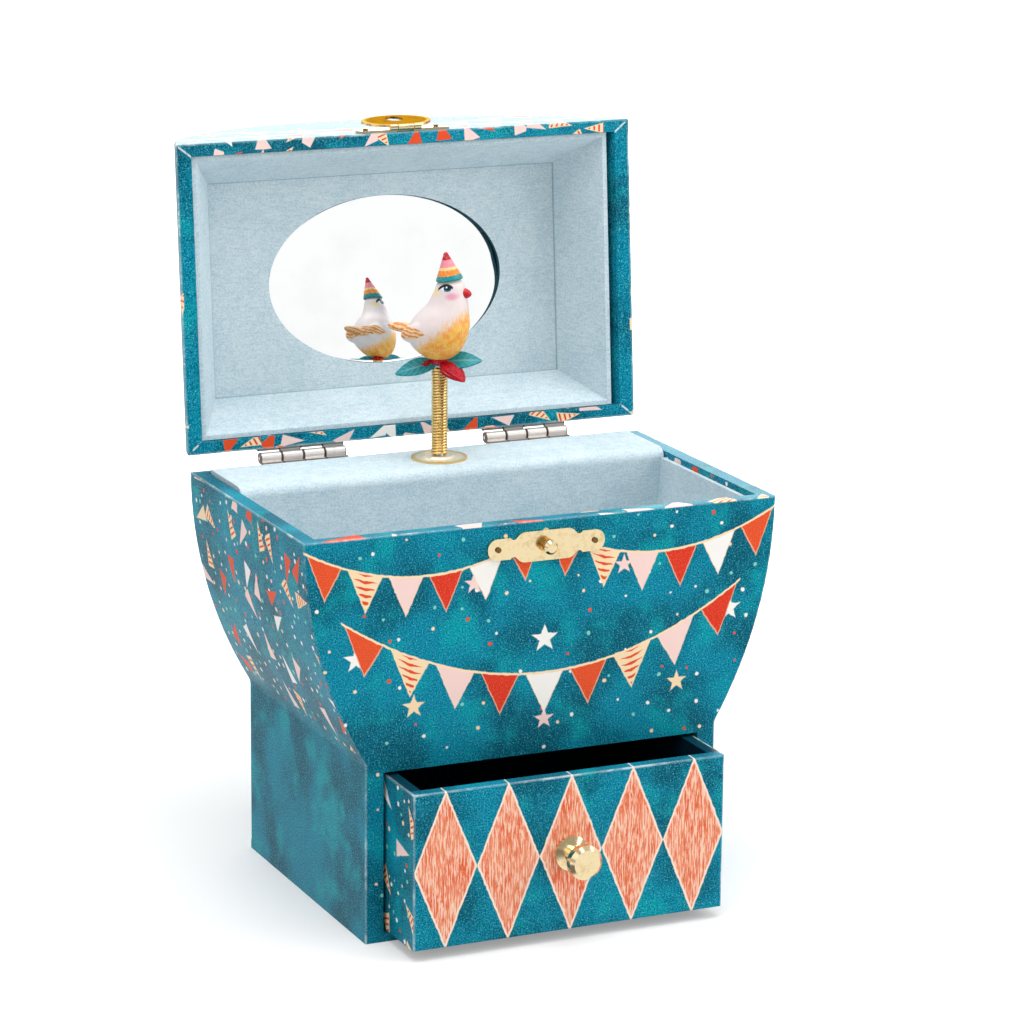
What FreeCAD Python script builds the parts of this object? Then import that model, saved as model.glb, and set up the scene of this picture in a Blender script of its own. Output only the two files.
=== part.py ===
"""Musical jewellery box: a flared, paper-covered box with a drawer, a barrel-topped mirror lid and a
bird figure that a wound music movement turns on a coil spring.

Millimetres, +Z up. The origin is the centre of the underside and the front of the box faces -Y.
The model is drawn as it stands in use: lid open on its stop, hasp folded back, drawer a little open.
"""

import FreeCAD
import Part
import math
import os

V = FreeCAD.Vector
X_AXIS = V(1, 0, 0)
Y_AXIS = V(0, 1, 0)
Z_AXIS = V(0, 0, 1)
ORIGIN = V(0, 0, 0)

# Case
rim_width = 160.0
base_width = 120.0
depth = 100.0
base_height = 58.0
bowl_height = 72.0
kink_radius = 5.0
side_board = 5.0
end_board = 4.0
bottom_thickness = 3.0
ceiling_thickness = 3.0
stile_width = 6.0
edge_round = 0.6
lining_thickness = 1.5
lining_drop = 2.0
lining_fit = 0.2

# Movement bay behind the jewel well
bay_depth = 28.0
deck_board = 2.0
deck_rise = 1.2
deck_nose_radius = 3.4
deck_side_gap = 0.6
spindle_from_back = 13.0

# Lid
lid_rise = 63.0
lid_gap = 0.3
lid_open_angle = 94.6
tray_depth = 20.0
tray_side_gap = 1.1
tray_end_taper = 9.3
tray_arch_gap = 2.3
tray_edge_drop = 1.6
tray_shift = -0.9
mirror_board_thickness = 2.0
mirror_side_margin = 20.0
mirror_end_margin = 7.0
mirror_overlap = 3.0
mirror_thickness = 2.0

# Hinges
hinge_spacing = 80.0
hinge_length = 30.0
hinge_offset = 3.2
hinge_rise = 1.2
hinge_knuckles = 4
knuckle_radius = 1.8
hinge_pin_radius = 0.6
leaf_height = 11.0
leaf_thickness = 0.8
knuckle_gap = 0.3

# Catch, hasp and nails
plate_thickness = 0.8
catch_width = 39.6
catch_end_height = 6.8
catch_end_round = 3.2
catch_middle_round = 3.4
catch_middle_width = 21.0
catch_middle_height = 9.6
catch_bite_radius = 1.2
catch_bite_gap = 0.6
catch_bite_lift = 0.5
catch_drop = 8.0
stud_neck_radius = 1.5
stud_head_radius = 2.3
stud_length = 4.0
stud_neck_length = 1.8
stud_hole_gap = 0.6
hasp_plate_width = 31.0
hasp_plate_height = 8.0
hasp_corner_share = 0.4
hasp_axis_rise = 1.6
hasp_axis_out = 1.5
hasp_knuckle_radius = 1.0
hasp_pin_radius = 0.5
flap_width = 24.0
flap_length = 13.6
flap_neck = 5.4
flap_raise = 170.0
hasp_nail_inset = 3.0
nail_head_radius = 0.9
nail_head_height = 0.5
nail_radius = 0.6
nail_length = 3.4

# Drawer
drawer_side_gap = 1.2
drawer_top_gap = 1.2
drawer_floor_gap = 0.6
drawer_back_gap = 4.0
drawer_board = 4.0
drawer_floor_thickness = 2.0
drawer_pull = 21.0
knob_radius = 5.5
knob_rose_radius = 5.6
knob_neck_radius = 3.0
knob_rose_thickness = 2.2
knob_length = 12.0
knob_head_thickness = 4.6
knob_screw_radius = 1.6
knob_screw_head = 3.2

# Figure on its spring
flange_radius = 9.2
flange_thickness = 1.1
flange_boss_radius = 4.6
flange_tube_radius = 3.0
spring_radius = 3.0
spring_wire = 0.8
spring_pitch = 1.25
spring_turns = 23
spring_foot_gap = 0.3
bird_facing = -40.0
bird_height = 27.5
bird_reach = 9.95
bird_width_share = 0.92
# Cross sections of the bird: height as a share of bird_height, then how far the middle
# lies ahead of the spindle and how far the section reaches, as shares of bird_reach
bird_profile = [
    (0.0, -0.03, 0.40),
    (0.08, -0.05, 0.70),
    (0.20, -0.085, 0.93),
    (0.37, -0.025, 1.0),
    (0.535, 0.115, 0.86),
    (0.66, 0.275, 0.665),
    (0.79, 0.33, 0.54),
    (0.91, 0.355, 0.42),
    (1.0, 0.36, 0.14),
]
tail_length = 17.4
tail_level = 9.0
tail_root_ahead = -6.6
tail_root_level = 9.4
tail_root_radius = 3.0
tail_tip_radius = 1.6
beak_ahead = 7.0
beak_level = 21.8
beak_length = 3.9
beak_radius = 1.85
beak_tip_radius = 0.7
hat_ahead = 3.2
hat_level = 25.8
hat_radius = 4.4
hat_tip_radius = 0.7
hat_height = 9.2
hat_tilt = 8.8
peg_radius = 1.9
peg_length = 6.0
leaf_lengths = (15.2, 13.8)
leaf_width = 6.8
leaf_sheet = 0.9
leaf_root_share = 0.78
petal_length = 12.0
petal_width = 8.4
rosette_radius = 3.4
rosette_thickness = 1.0
leaf_droops = (15.0, -6.0)
leaf_rolls = (-40.0, 40.0)
petal_droop = 30.0
leaf_facing = 155.0
petal_facing = -62.0

# Music movement
movement_lift = 27.0
bedplate_thickness = 1.6
bedplate_left = 18.0
bedplate_margin = 5.0
crown_teeth = 28
crown_module = 1.0
crown_disc = 1.5
pinion_teeth = 9
pinion_width = 2.0
crown_face = 3.0
barrel_radius = 10.0
barrel_wall = 1.0
barrel_clearance = 3.4
arbor_radius = 2.0
arbor_collar_radius = 3.2
mainspring_bore = 2.8
key_hub_radius = 3.2
key_hub_length = 9.0
key_gap = 1.2
key_wing_radius = 6.8
key_wing_hole = 3.3
key_wing_thickness = 1.6
spindle_radius = 1.4
shaft_radius = 1.0
running_gap = 0.05
bracket_thickness = 1.2
bracket_width = 7.0
end_play = 0.6
cylinder_radius = 6.5
note_count = 18
note_pitch = 0.95
note_turn = 137.5
pin_radius = 0.25
pin_height = 0.5
comb_gap = 0.4
comb_thickness = 1.0
comb_tooth_length = 9.0
comb_slit = 0.22
comb_base = 7.0
tooth_depth = 1.1
tooth_reach = 0.75
root_share = 0.27
tip_share = 0.09
fine_module = 0.5
wheel_teeth = 36
wheel_width = 1.4
governor_pinion_teeth = 9
fan_radius = 4.6
fan_length = 5.0
fan_thickness = 0.5
screw_radius = 1.2
screw_head_radius = 2.2
screw_head_height = 1.2

# Derived places
rim_height = base_height + bowl_height
half_depth = depth / 2
front_inner = -half_depth + end_board
back_inner = half_depth - end_board
bowl_flare = (rim_width - base_width) / 2
bowl_radius = (bowl_height ** 2 + bowl_flare ** 2) / (2 * bowl_flare)
bowl_centre_x = rim_width / 2 - bowl_radius
bay_front = back_inner - bay_depth
spindle_y = back_inner - spindle_from_back
lid_floor = rim_height + lid_gap
lid_radius = ((rim_width / 2) ** 2 + lid_rise ** 2) / (2 * lid_rise)
lid_sunk = lid_radius - lid_rise
deck_top = rim_height + deck_rise
hinge_point = V(0, half_depth + hinge_offset, lid_floor + hinge_rise)
hasp_point = V(0, -half_depth - hasp_axis_out, lid_floor + hasp_axis_rise)
catch_z = rim_height - catch_drop
bay_ceiling = base_height - ceiling_thickness
flange_top = deck_top + flange_thickness
spring_foot = flange_top + spring_foot_gap
spring_top = spring_foot + spring_turns * spring_pitch + spring_wire
rosette_floor = spring_top + spring_foot_gap
bird_floor = rosette_floor + 2 * rosette_thickness
barrel_z = base_height + movement_lift
crown_radius = crown_teeth * crown_module / 2
pinion_radius = pinion_teeth * crown_module / 2
crown_pitch_y = spindle_y - pinion_radius

made = {}


# Shared shapes


def box(x0, x1, y0, y1, z0, z1):
    return Part.makeBox(x1 - x0, y1 - y0, z1 - z0, V(x0, y0, z0))


def rod(radius, start, end):
    run = end - start
    return Part.makeCylinder(radius, run.Length, start, run)


def polygon_face(points):
    return Part.Face(Part.makePolygon(points + points[:1]))


def fuse_all(shapes):
    return shapes[0].multiFuse(shapes[1:]).removeSplitter()


def cut_all(shape, tools):
    return shape.cut(Part.makeCompound(tools))


def revolved(points, centre, axis, across):
    """Turn a half outline, given as (radius, height) points, round an axis."""
    outline = [centre + across * radius + axis * height for radius, height in points]
    return polygon_face(outline).revolve(centre, axis, 360)


def arc_edge(centre, radius, first, last):
    """An arc in the XZ plane between two angles, measured from +X towards +Z."""
    points = []
    for angle in (first, (first + last) / 2, last):
        points.append(centre + V(math.cos(angle), 0, math.sin(angle)) * radius)
    return Part.Arc(*points).toShape()


def case_prism(inset, y0, y1, z0=0.0, z1=None):
    """The case's front outline, drawn in by an inset, run from y0 to y1 and cut off level at z0 and z1."""
    half_base = base_width / 2 - inset
    kink_x = base_width / 2 + kink_radius
    reach = kink_x - bowl_centre_x
    kink_z = rim_height - math.sqrt((bowl_radius + kink_radius) ** 2 - reach ** 2)
    turn = math.atan2(kink_z - rim_height, reach)
    bowl_centre = V(bowl_centre_x, y0, rim_height)
    kink_centre = V(kink_x, y0, kink_z)
    upright = Part.makeLine(V(half_base, y0, 0), V(half_base, y0, kink_z))
    kink = arc_edge(kink_centre, kink_radius + inset, math.pi, math.pi + turn)
    bowl = arc_edge(bowl_centre, bowl_radius - inset, turn, 0.0)
    right = [upright, kink, bowl]
    left = [edge.mirror(ORIGIN, X_AXIS) for edge in right]
    top = Part.makeLine(V(rim_width / 2 - inset, y0, rim_height), V(inset - rim_width / 2, y0, rim_height))
    foot = Part.makeLine(V(-half_base, y0, 0), V(half_base, y0, 0))
    outline = Part.Wire(Part.__sortEdges__(right + [top] + left + [foot]))
    solid = Part.Face(outline).extrude(V(0, y1 - y0, 0))
    level = rim_height if z1 is None else z1
    return solid.common(box(-rim_width, rim_width, y0, y1, z0, level))


def lid_prism(inset, y0, y1):
    """The lid's arched front outline, drawn in by an inset, run from y0 to y1 above the closed rim."""
    radius = lid_radius - inset
    centre = V(0, y0, lid_floor - lid_sunk)
    low = math.asin(lid_sunk / radius)
    arch = arc_edge(centre, radius, low, math.pi - low)
    foot = Part.makeLine(arch.Vertexes[-1].Point, arch.Vertexes[0].Point)
    return Part.Face(Part.Wire([arch, foot])).extrude(V(0, y1 - y0, 0))


def round_rim_of(panel, y_face):
    """Round the outer edge of an upright panel where its paper covering turns the corner."""
    low = panel.BoundBox.ZMin
    edges = []
    for edge in panel.Edges:
        flat = abs(edge.BoundBox.YMin - y_face) < 1e-6 and abs(edge.BoundBox.YMax - y_face) < 1e-6
        raised = edge.BoundBox.ZMax > low + 1e-6
        if flat and raised:
            edges.append(edge)
    return panel.makeFillet(edge_round, edges)


def nail(head_at, inward):
    """A round-headed nail: the head sits on the surface and the shank runs inward."""
    head = Part.makeCylinder(nail_head_radius, nail_head_height, head_at, inward * -1)
    shank = Part.makeCylinder(nail_radius, nail_length, head_at, inward)
    return head.fuse(shank)


def nail_hole(head_at, inward):
    return Part.makeCylinder(nail_radius + running_gap, nail_length + running_gap, head_at, inward)


def lid_opened(shape):
    return shape.rotated(hinge_point, X_AXIS, -lid_open_angle)


def save(name, shape):
    made[name] = shape


# Nail places, each with the direction that the nail is driven


def catch_nail_places():
    reach = (catch_width - catch_end_height) / 2
    return [(V(side * reach, -half_depth - plate_thickness, catch_z), Y_AXIS) for side in (-1, 1)]


def hinge_nail_places(upward):
    rise = upward * (leaf_height + knuckle_radius) / 2
    places = []
    for side in (-1, 1):
        for end in (-1, 1):
            x = side * hinge_spacing / 2 + end * hinge_length / 4
            head_at = V(x, half_depth + leaf_thickness, hinge_point.z + rise)
            places.append((head_at, Y_AXIS * -1))
    return places


def hasp_nail_places():
    reach = hasp_plate_width / 2 - hasp_nail_inset
    height = hasp_point.z + hasp_plate_height / 2
    return [(V(side * reach, -half_depth - plate_thickness, height), Y_AXIS) for side in (-1, 1)]


# Case boards


def case_boards():
    half_base = base_width / 2
    save("bottom_board", box(-half_base, half_base, -half_depth, half_depth, 0, bottom_thickness))

    shell = case_prism(0, front_inner, back_inner, bottom_thickness)
    hollow = case_prism(side_board, front_inner, back_inner, bottom_thickness)
    sides = sorted(shell.cut(hollow).Solids, key=lambda solid: solid.CenterOfMass.x)
    save("side_panel_left", sides[0])
    save("side_panel_right", sides[1])

    half_opening = half_base - stile_width
    front = case_prism(0, -half_depth, front_inner, bottom_thickness)
    front = round_rim_of(front, -half_depth)
    opening = box(-half_opening, half_opening, -half_depth, front_inner, bottom_thickness, bay_ceiling)
    holes = [nail_hole(*place) for place in catch_nail_places()]
    stud_hole = rod(stud_neck_radius + running_gap, V(0, -half_depth, catch_z), V(0, front_inner, catch_z))
    save("front_panel", cut_all(front, [opening, stud_hole] + holes))

    back = round_rim_of(case_prism(0, back_inner, half_depth, bottom_thickness), half_depth)
    holes = [nail_hole(*place) for place in hinge_nail_places(-1)]
    holes.append(rod(key_hub_radius + key_gap, V(0, back_inner, barrel_z), V(0, half_depth, barrel_z)))
    for place in bedplate_screw_places():
        holes.append(rod(screw_radius + running_gap, place, place + Y_AXIS * end_board))
    save("back_panel", cut_all(back, holes))

    ceiling = box(-half_base, half_base, front_inner, back_inner, bay_ceiling, base_height)
    within = case_prism(side_board + lining_fit, front_inner, back_inner)
    save("drawer_ceiling", ceiling.common(within))


def jewel_well():
    floor_top = base_height + lining_thickness
    lining_top = rim_height - lining_drop
    wall_inset = side_board + lining_fit
    floor_shape = case_prism(wall_inset, front_inner, bay_front, base_height, floor_top)
    save("lining_floor", floor_shape)

    outer = case_prism(wall_inset, front_inner, bay_front, floor_top, lining_top)
    inner = case_prism(wall_inset + lining_thickness, front_inner, bay_front, floor_top, lining_top)
    walls = sorted(outer.cut(inner).Solids, key=lambda solid: solid.CenterOfMass.x)
    save("lining_left", walls[0])
    save("lining_right", walls[1])

    front_back = front_inner + lining_thickness
    front_inset = wall_inset + lining_thickness + lining_fit
    save("lining_front", case_prism(front_inset, front_inner, front_back, floor_top, lining_top))


def movement_deck():
    """The bay's cover: a level top just above the rim that turns down over a rounded nose to the floor."""
    deck_end = back_inner - lining_fit
    block = box(-rim_width / 2, rim_width / 2, bay_front, deck_end, base_height, deck_top)
    nose = [
        edge
        for edge in block.Edges
        if abs(edge.CenterOfMass.y - bay_front) < 1e-6 and abs(edge.CenterOfMass.z - deck_top) < 1e-6
    ]
    block = block.makeFillet(deck_nose_radius, nose)
    hollow_front = bay_front + deck_board
    hollow_top = deck_top - deck_board
    hollow = box(-rim_width, rim_width, hollow_front, back_inner, base_height, hollow_top)
    inner_nose = [
        edge
        for edge in hollow.Edges
        if abs(edge.CenterOfMass.y - hollow_front) < 1e-6 and abs(edge.CenterOfMass.z - hollow_top) < 1e-6
    ]
    hollow = hollow.makeFillet(deck_nose_radius / 2, inner_nose)
    inset = side_board + deck_side_gap
    half_top = rim_width / 2 - inset
    room = case_prism(inset, bay_front, back_inner, base_height)
    room = room.fuse(box(-half_top, half_top, bay_front, back_inner, rim_height, deck_top))
    deck = block.cut(hollow).common(room.removeSplitter())
    spindle_hole = rod(
        flange_tube_radius + lining_fit,
        V(0, spindle_y, hollow_top),
        V(0, spindle_y, deck_top),
    )
    save("movement_deck", deck.cut(spindle_hole))


# Catch, hasp and hinges


def rounded_bar(width, height, radius, y0, y1, z):
    """An upright plate with rounded corners, centred on x = 0 and the given height."""
    plate = box(-width / 2, width / 2, y0, y1, z - height / 2, z + height / 2)
    corners = [edge for edge in plate.Edges if abs(edge.tangentAt(edge.FirstParameter).y) > 0.9]
    return plate.makeFillet(radius, corners)


def catch():
    y0 = -half_depth - plate_thickness
    y1 = -half_depth
    wings = rounded_bar(catch_width, catch_end_height, catch_end_round, y0, y1, catch_z)
    middle = rounded_bar(catch_middle_width, catch_middle_height, catch_middle_round, y0, y1, catch_z)
    holes = [nail_hole(*place) for place in catch_nail_places()]
    holes.append(rod(stud_neck_radius + running_gap, V(0, y0, catch_z), V(0, y1, catch_z)))
    for side in (-1, 1):
        for level in (-1, 1):
            x = side * (catch_middle_width / 2 + catch_bite_gap)
            z = catch_z + level * (catch_end_height / 2 + catch_bite_lift)
            holes.append(rod(catch_bite_radius, V(x, y0, z), V(x, y1, z)))
    save("catch_plate", cut_all(wings.fuse(middle).removeSplitter(), holes))

    dome = (stud_length - stud_neck_length) / 3
    outline = [
        (0, y0 - front_inner),
        (stud_neck_radius, y0 - front_inner),
        (stud_neck_radius, stud_neck_length),
        (stud_head_radius, stud_neck_length),
        (stud_head_radius, stud_length - dome),
        (stud_head_radius - dome, stud_length),
        (0, stud_length),
    ]
    save("catch_stud", revolved(outline, V(0, y0, catch_z), Y_AXIS * -1, X_AXIS))


def hinge_leaf(centre_x, own_knuckles, upward):
    """A bent leaf: nailed plate on the back face, web out to the pin line and its share of the knuckles."""
    pin_y = hinge_point.y
    pin_z = hinge_point.z
    low_x = centre_x - hinge_length / 2
    step = hinge_length / hinge_knuckles
    web_start = pin_y - knuckle_radius - knuckle_gap
    web_inner = pin_z + upward * (knuckle_radius - leaf_thickness)
    levels = sorted([pin_z + upward * knuckle_radius, web_inner])
    ends = sorted([pin_z + upward * leaf_height, web_inner])
    high_x = low_x + hinge_length
    pieces = [
        box(low_x, high_x, half_depth, half_depth + leaf_thickness, ends[0], ends[1]),
        box(low_x, high_x, half_depth, web_start, levels[0], levels[1]),
    ]
    for index in own_knuckles:
        start = low_x + index * step + knuckle_gap / 2
        end = low_x + (index + 1) * step - knuckle_gap / 2
        pieces.append(rod(knuckle_radius, V(start, pin_y, pin_z), V(end, pin_y, pin_z)))
        pieces.append(box(start, end, half_depth, pin_y, levels[0], levels[1]))
    bore = rod(hinge_pin_radius + running_gap, V(low_x, pin_y, pin_z), V(high_x, pin_y, pin_z))
    holes = [nail_hole(*place) for place in hinge_nail_places(upward)]
    return cut_all(fuse_all(pieces), [bore] + holes)


def hinges():
    pins = []
    for side, name in ((-1, "left"), (1, "right")):
        centre_x = side * hinge_spacing / 2
        save("hinge_case_leaf_" + name, hinge_leaf(centre_x, range(0, hinge_knuckles, 2), -1))
        lid_leaf = hinge_leaf(centre_x, range(1, hinge_knuckles, 2), 1)
        save("hinge_lid_leaf_" + name, lid_opened(lid_leaf))
        start = V(centre_x - hinge_length / 2, hinge_point.y, hinge_point.z)
        pins.append(rod(hinge_pin_radius, start, start + X_AXIS * hinge_length))
    save("hinge_pins", Part.makeCompound(pins))


def hasp_knuckle(start_x, end_x):
    return rod(hasp_knuckle_radius, hasp_point + X_AXIS * start_x, hasp_point + X_AXIS * end_x)


def hasp():
    """Nailed plate on the lid's front edge, its pin, and the oval flap that drops over the catch stud."""
    y0 = -half_depth - plate_thickness
    axis_z = hasp_point.z
    half_neck = flap_neck / 2
    half_line = half_neck + flap_neck / 2
    half_plate = hasp_plate_width / 2
    plate = box(-half_plate, half_plate, y0, -half_depth, axis_z, axis_z + hasp_plate_height)
    upper = [
        edge
        for edge in plate.Edges
        if abs(edge.tangentAt(edge.FirstParameter).y) > 0.9 and edge.CenterOfMass.z > axis_z + 1e-6
    ]
    plate = plate.makeFillet(hasp_plate_height * hasp_corner_share, upper)
    neck_room = half_neck + knuckle_gap
    knuckle_room = axis_z + hasp_knuckle_radius + knuckle_gap
    notch = box(-neck_room, neck_room, y0, -half_depth, axis_z, knuckle_room)
    pieces = [plate.cut(notch), hasp_knuckle(-half_line, -neck_room), hasp_knuckle(neck_room, half_line)]
    pin_ends = (hasp_point - X_AXIS * half_line, hasp_point + X_AXIS * half_line)
    bore = rod(hasp_pin_radius + running_gap, *pin_ends)
    holes = [nail_hole(*place) for place in hasp_nail_places()]
    save("hasp_plate", lid_opened(cut_all(fuse_all(pieces), [bore] + holes)))
    save("hasp_pin", lid_opened(rod(hasp_pin_radius, *pin_ends)))

    sheet_front = hasp_point.y - plate_thickness / 2
    sheet_back = hasp_point.y + plate_thickness / 2
    shield_top = axis_z - hasp_knuckle_radius - knuckle_gap
    shield = Part.Face(Part.Wire(Part.Ellipse(ORIGIN, flap_width / 2, flap_length / 2).toShape()))
    shield.rotate(ORIGIN, X_AXIS, 90)
    shield.translate(V(0, sheet_front, shield_top - flap_length / 2))
    shield = shield.extrude(V(0, plate_thickness, 0))
    tab = box(-half_neck, half_neck, sheet_front, sheet_back, shield_top - flap_length / 2, axis_z)
    stud_hole = rod(stud_head_radius + stud_hole_gap, V(0, sheet_front, catch_z), V(0, sheet_back, catch_z))
    flap = fuse_all([shield, tab, hasp_knuckle(-half_neck, half_neck)])
    flap = cut_all(flap, [bore, stud_hole])
    save("hasp_flap", lid_opened(flap.rotated(hasp_point, X_AXIS, -flap_raise)))


def nails():
    case_places = catch_nail_places() + hinge_nail_places(-1)
    save("case_nails", Part.makeCompound([nail(*place) for place in case_places]))
    lid_places = hinge_nail_places(1) + hasp_nail_places()
    save("lid_nails", lid_opened(Part.makeCompound([nail(*place) for place in lid_places])))


# Lid


def tray_sizes():
    """Half widths and levels of the tapered lining, worked out from the arch that it fits under."""
    within = lid_radius - side_board
    crown = lid_sunk + tray_depth + mirror_board_thickness
    edge = lid_sunk + tray_edge_drop
    floor_x = math.sqrt(within ** 2 - crown ** 2) - lining_thickness - tray_arch_gap
    rim_x = math.sqrt(within ** 2 - edge ** 2) - lining_thickness - tray_side_gap
    rim_y = half_depth - end_board - lining_fit - lining_thickness
    floor_y = rim_y - tray_end_taper
    return rim_x, rim_y, floor_x, floor_y


def tapered_board(inner, shifts):
    """One mitred lining board from its four inner corners and the outward shift of each."""
    outer = [corner + shift for corner, shift in zip(inner, shifts)]
    faces = [polygon_face(inner), polygon_face(outer)]
    for index in range(4):
        after = (index + 1) % 4
        faces.append(polygon_face([inner[index], inner[after], outer[after], outer[index]]))
    solid = Part.Solid(Part.Shell(faces))
    if solid.Volume < 0:
        solid.reverse()
    return solid


def lid_boards():
    front = round_rim_of(lid_prism(0, -half_depth, front_inner), -half_depth)
    front_holes = [nail_hole(*place) for place in hasp_nail_places()]
    save("lid_front_panel", lid_opened(cut_all(front, front_holes)))
    back = round_rim_of(lid_prism(0, back_inner, half_depth), half_depth)
    back_holes = [nail_hole(*place) for place in hinge_nail_places(1)]
    save("lid_back_panel", lid_opened(cut_all(back, back_holes)))
    arch = lid_prism(0, front_inner, back_inner).cut(lid_prism(side_board, front_inner, back_inner))
    save("lid_arch", lid_opened(arch))


def lid_lining():
    """Four tapered boards and the mirror's board, set a little to one side of the lid's middle."""
    aside = X_AXIS * tray_shift
    rim_x, rim_y, floor_x, floor_y = tray_sizes()
    rim_z = lid_floor + tray_edge_drop
    floor_z = lid_floor + tray_depth
    rim = []
    floor = []
    out = []
    for side_x, side_y in ((-1, -1), (1, -1), (1, 1), (-1, 1)):
        rim.append(V(side_x * rim_x, side_y * rim_y, rim_z))
        floor.append(V(side_x * floor_x, side_y * floor_y, floor_z))
        out.append(V(side_x * lining_thickness, side_y * lining_thickness, 0))
    for index, name in enumerate(("front", "right", "back", "left")):
        after = (index + 1) % 4
        corners = [rim[index], rim[after], floor[after], floor[index]]
        shifts = [out[index], out[after], out[after], out[index]]
        save("lid_lining_" + name, lid_opened(tapered_board(corners, shifts).translated(aside)))

    outer_x = floor_x + lining_thickness
    outer_y = floor_y + lining_thickness
    board_top = floor_z + mirror_board_thickness
    opening_x = floor_x - mirror_side_margin
    opening_y = floor_y - mirror_end_margin
    board = box(-outer_x, outer_x, -outer_y, outer_y, floor_z, board_top)
    opening = oval_disc(opening_x, opening_y, floor_z, board_top)
    save("mirror_board", lid_opened(board.cut(opening).translated(aside)))
    glass_x = opening_x + mirror_overlap
    glass_y = opening_y + mirror_overlap
    glass = oval_disc(glass_x, glass_y, board_top, board_top + mirror_thickness)
    save("mirror_glass", lid_opened(glass.translated(aside)))


def oval_disc(half_x, half_y, z0, z1):
    curve = Part.Ellipse(V(half_x, 0, z0), V(0, half_y, z0), V(0, 0, z0))
    return Part.Face(Part.Wire(curve.toShape())).extrude(V(0, 0, z1 - z0))


# Drawer


def drawer():
    half_width = base_width / 2 - stile_width - drawer_side_gap
    z0 = bottom_thickness + drawer_floor_gap
    z1 = bay_ceiling - drawer_top_gap
    face_y = -half_depth - drawer_pull
    rear_y = back_inner - drawer_back_gap - drawer_pull
    inner_x = half_width - drawer_board
    floor_top = z0 + drawer_floor_thickness
    knob_z = (z0 + z1) / 2

    front = box(-half_width, half_width, face_y, face_y + drawer_board, z0, z1)
    screw_hole = rod(
        knob_screw_radius + running_gap,
        V(0, face_y, knob_z),
        V(0, face_y + drawer_board, knob_z),
    )
    save("drawer_front", front.makeFillet(edge_round, outline_edges(front, face_y)).cut(screw_hole))
    for side, name in ((-1, "left"), (1, "right")):
        near, far = sorted([side * half_width, side * inner_x])
        save("drawer_side_" + name, box(near, far, face_y + drawer_board, rear_y, z0, z1))
    save("drawer_back", box(-inner_x, inner_x, rear_y - drawer_board, rear_y, z0, z1))
    floor = box(-inner_x, inner_x, face_y + drawer_board, rear_y - drawer_board, z0, floor_top)
    save("drawer_floor", floor)

    rose = knob_rose_thickness
    head = knob_length - knob_head_thickness
    rim = knob_head_thickness / 4
    outline = [
        (0, 0),
        (knob_rose_radius, 0),
        (knob_rose_radius, rose / 2),
        (knob_neck_radius, rose),
        (knob_neck_radius, head),
        (knob_radius - rim, head),
        (knob_radius, head + rim),
        (knob_radius, knob_length - rim),
        (knob_radius - rim, knob_length),
        (0, knob_length),
    ]
    knob = revolved(outline, V(0, face_y, knob_z), Y_AXIS * -1, X_AXIS)
    thread = V(0, face_y - head, knob_z)
    tip = rod(knob_screw_radius + running_gap, V(0, face_y, knob_z), thread)
    save("drawer_knob", knob.cut(tip))
    inside = V(0, face_y + drawer_board, knob_z)
    shank = rod(knob_screw_radius, inside, thread + Y_AXIS * running_gap)
    cap = rod(knob_screw_head, inside, inside + Y_AXIS * screw_head_height)
    save("drawer_knob_screw", shank.fuse(cap))


def outline_edges(panel, y_face):
    """The edges of a panel that lie in one upright face."""
    edges = []
    for edge in panel.Edges:
        if abs(edge.BoundBox.YMin - y_face) < 1e-6 and abs(edge.BoundBox.YMax - y_face) < 1e-6:
            edges.append(edge)
    return edges


# Figure


def spindle_flange():
    tube = V(0, spindle_y, deck_top - deck_board)
    disc = V(0, spindle_y, deck_top)
    outline = [
        (0, 0),
        (flange_radius, 0),
        (flange_radius, flange_thickness / 2),
        (flange_boss_radius + flange_thickness / 2, flange_thickness / 2),
        (flange_boss_radius, flange_thickness),
        (0, flange_thickness),
    ]
    flange = revolved(outline, disc, Z_AXIS, X_AXIS)
    flange = flange.fuse(rod(flange_tube_radius, tube, disc))
    bore = rod(spindle_radius + running_gap, tube, disc + Z_AXIS * flange_thickness)
    save("spindle_flange", flange.cut(bore))


def helix_point(turn):
    radius = spring_radius - spring_wire / 2
    angle = 2 * math.pi * turn
    rise = spring_foot + spring_wire / 2 + spring_pitch * turn
    return V(radius * math.cos(angle), spindle_y + radius * math.sin(angle), rise)


def helix_tangent(turn):
    radius = spring_radius - spring_wire / 2
    angle = 2 * math.pi * turn
    slope = V(-radius * math.sin(angle), radius * math.cos(angle), spring_pitch / (2 * math.pi))
    return slope.normalize()


def arc_from(start, tangent, end):
    """The arc that leaves start along a tangent and reaches end."""
    chord = end - start
    along = V(chord).normalize()
    lean = tangent - along * tangent.dot(along)
    half_turn = math.acos(max(-1.0, min(1.0, tangent.dot(along))))
    bulge = V(lean).normalize() * (chord.Length / 2 * math.tan(half_turn / 2))
    return Part.Arc(start, (start + end) / 2 + bulge, end).toShape()


def biarc(first, last):
    """Two arcs that carry the helix from one turn value to another and keep its direction at both ends."""
    start, end = helix_point(first), helix_point(last)
    leave, arrive = helix_tangent(first), helix_tangent(last)
    span = end - start
    both = leave + arrive
    spread = 2 * (1 - leave.dot(arrive))
    reach = span.dot(both)
    handle = (-reach + math.sqrt(reach ** 2 + spread * span.dot(span))) / spread
    middle = (start + end) / 2 + (leave - arrive) * (handle / 2)
    back = arc_from(end, arrive * -1, middle)
    return [arc_from(start, leave, middle), back]


def least_spring_gap():
    """Smallest clear distance between one turn of the wire and any other, on points along it."""
    steps = 40
    points = [helix_point(index / steps) for index in range(4 * steps)]
    least = None
    for index, point in enumerate(points):
        for other in points[index + steps // 2:]:
            gap = (other - point).Length - spring_wire
            if least is None or gap < least:
                least = gap
    return least


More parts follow.
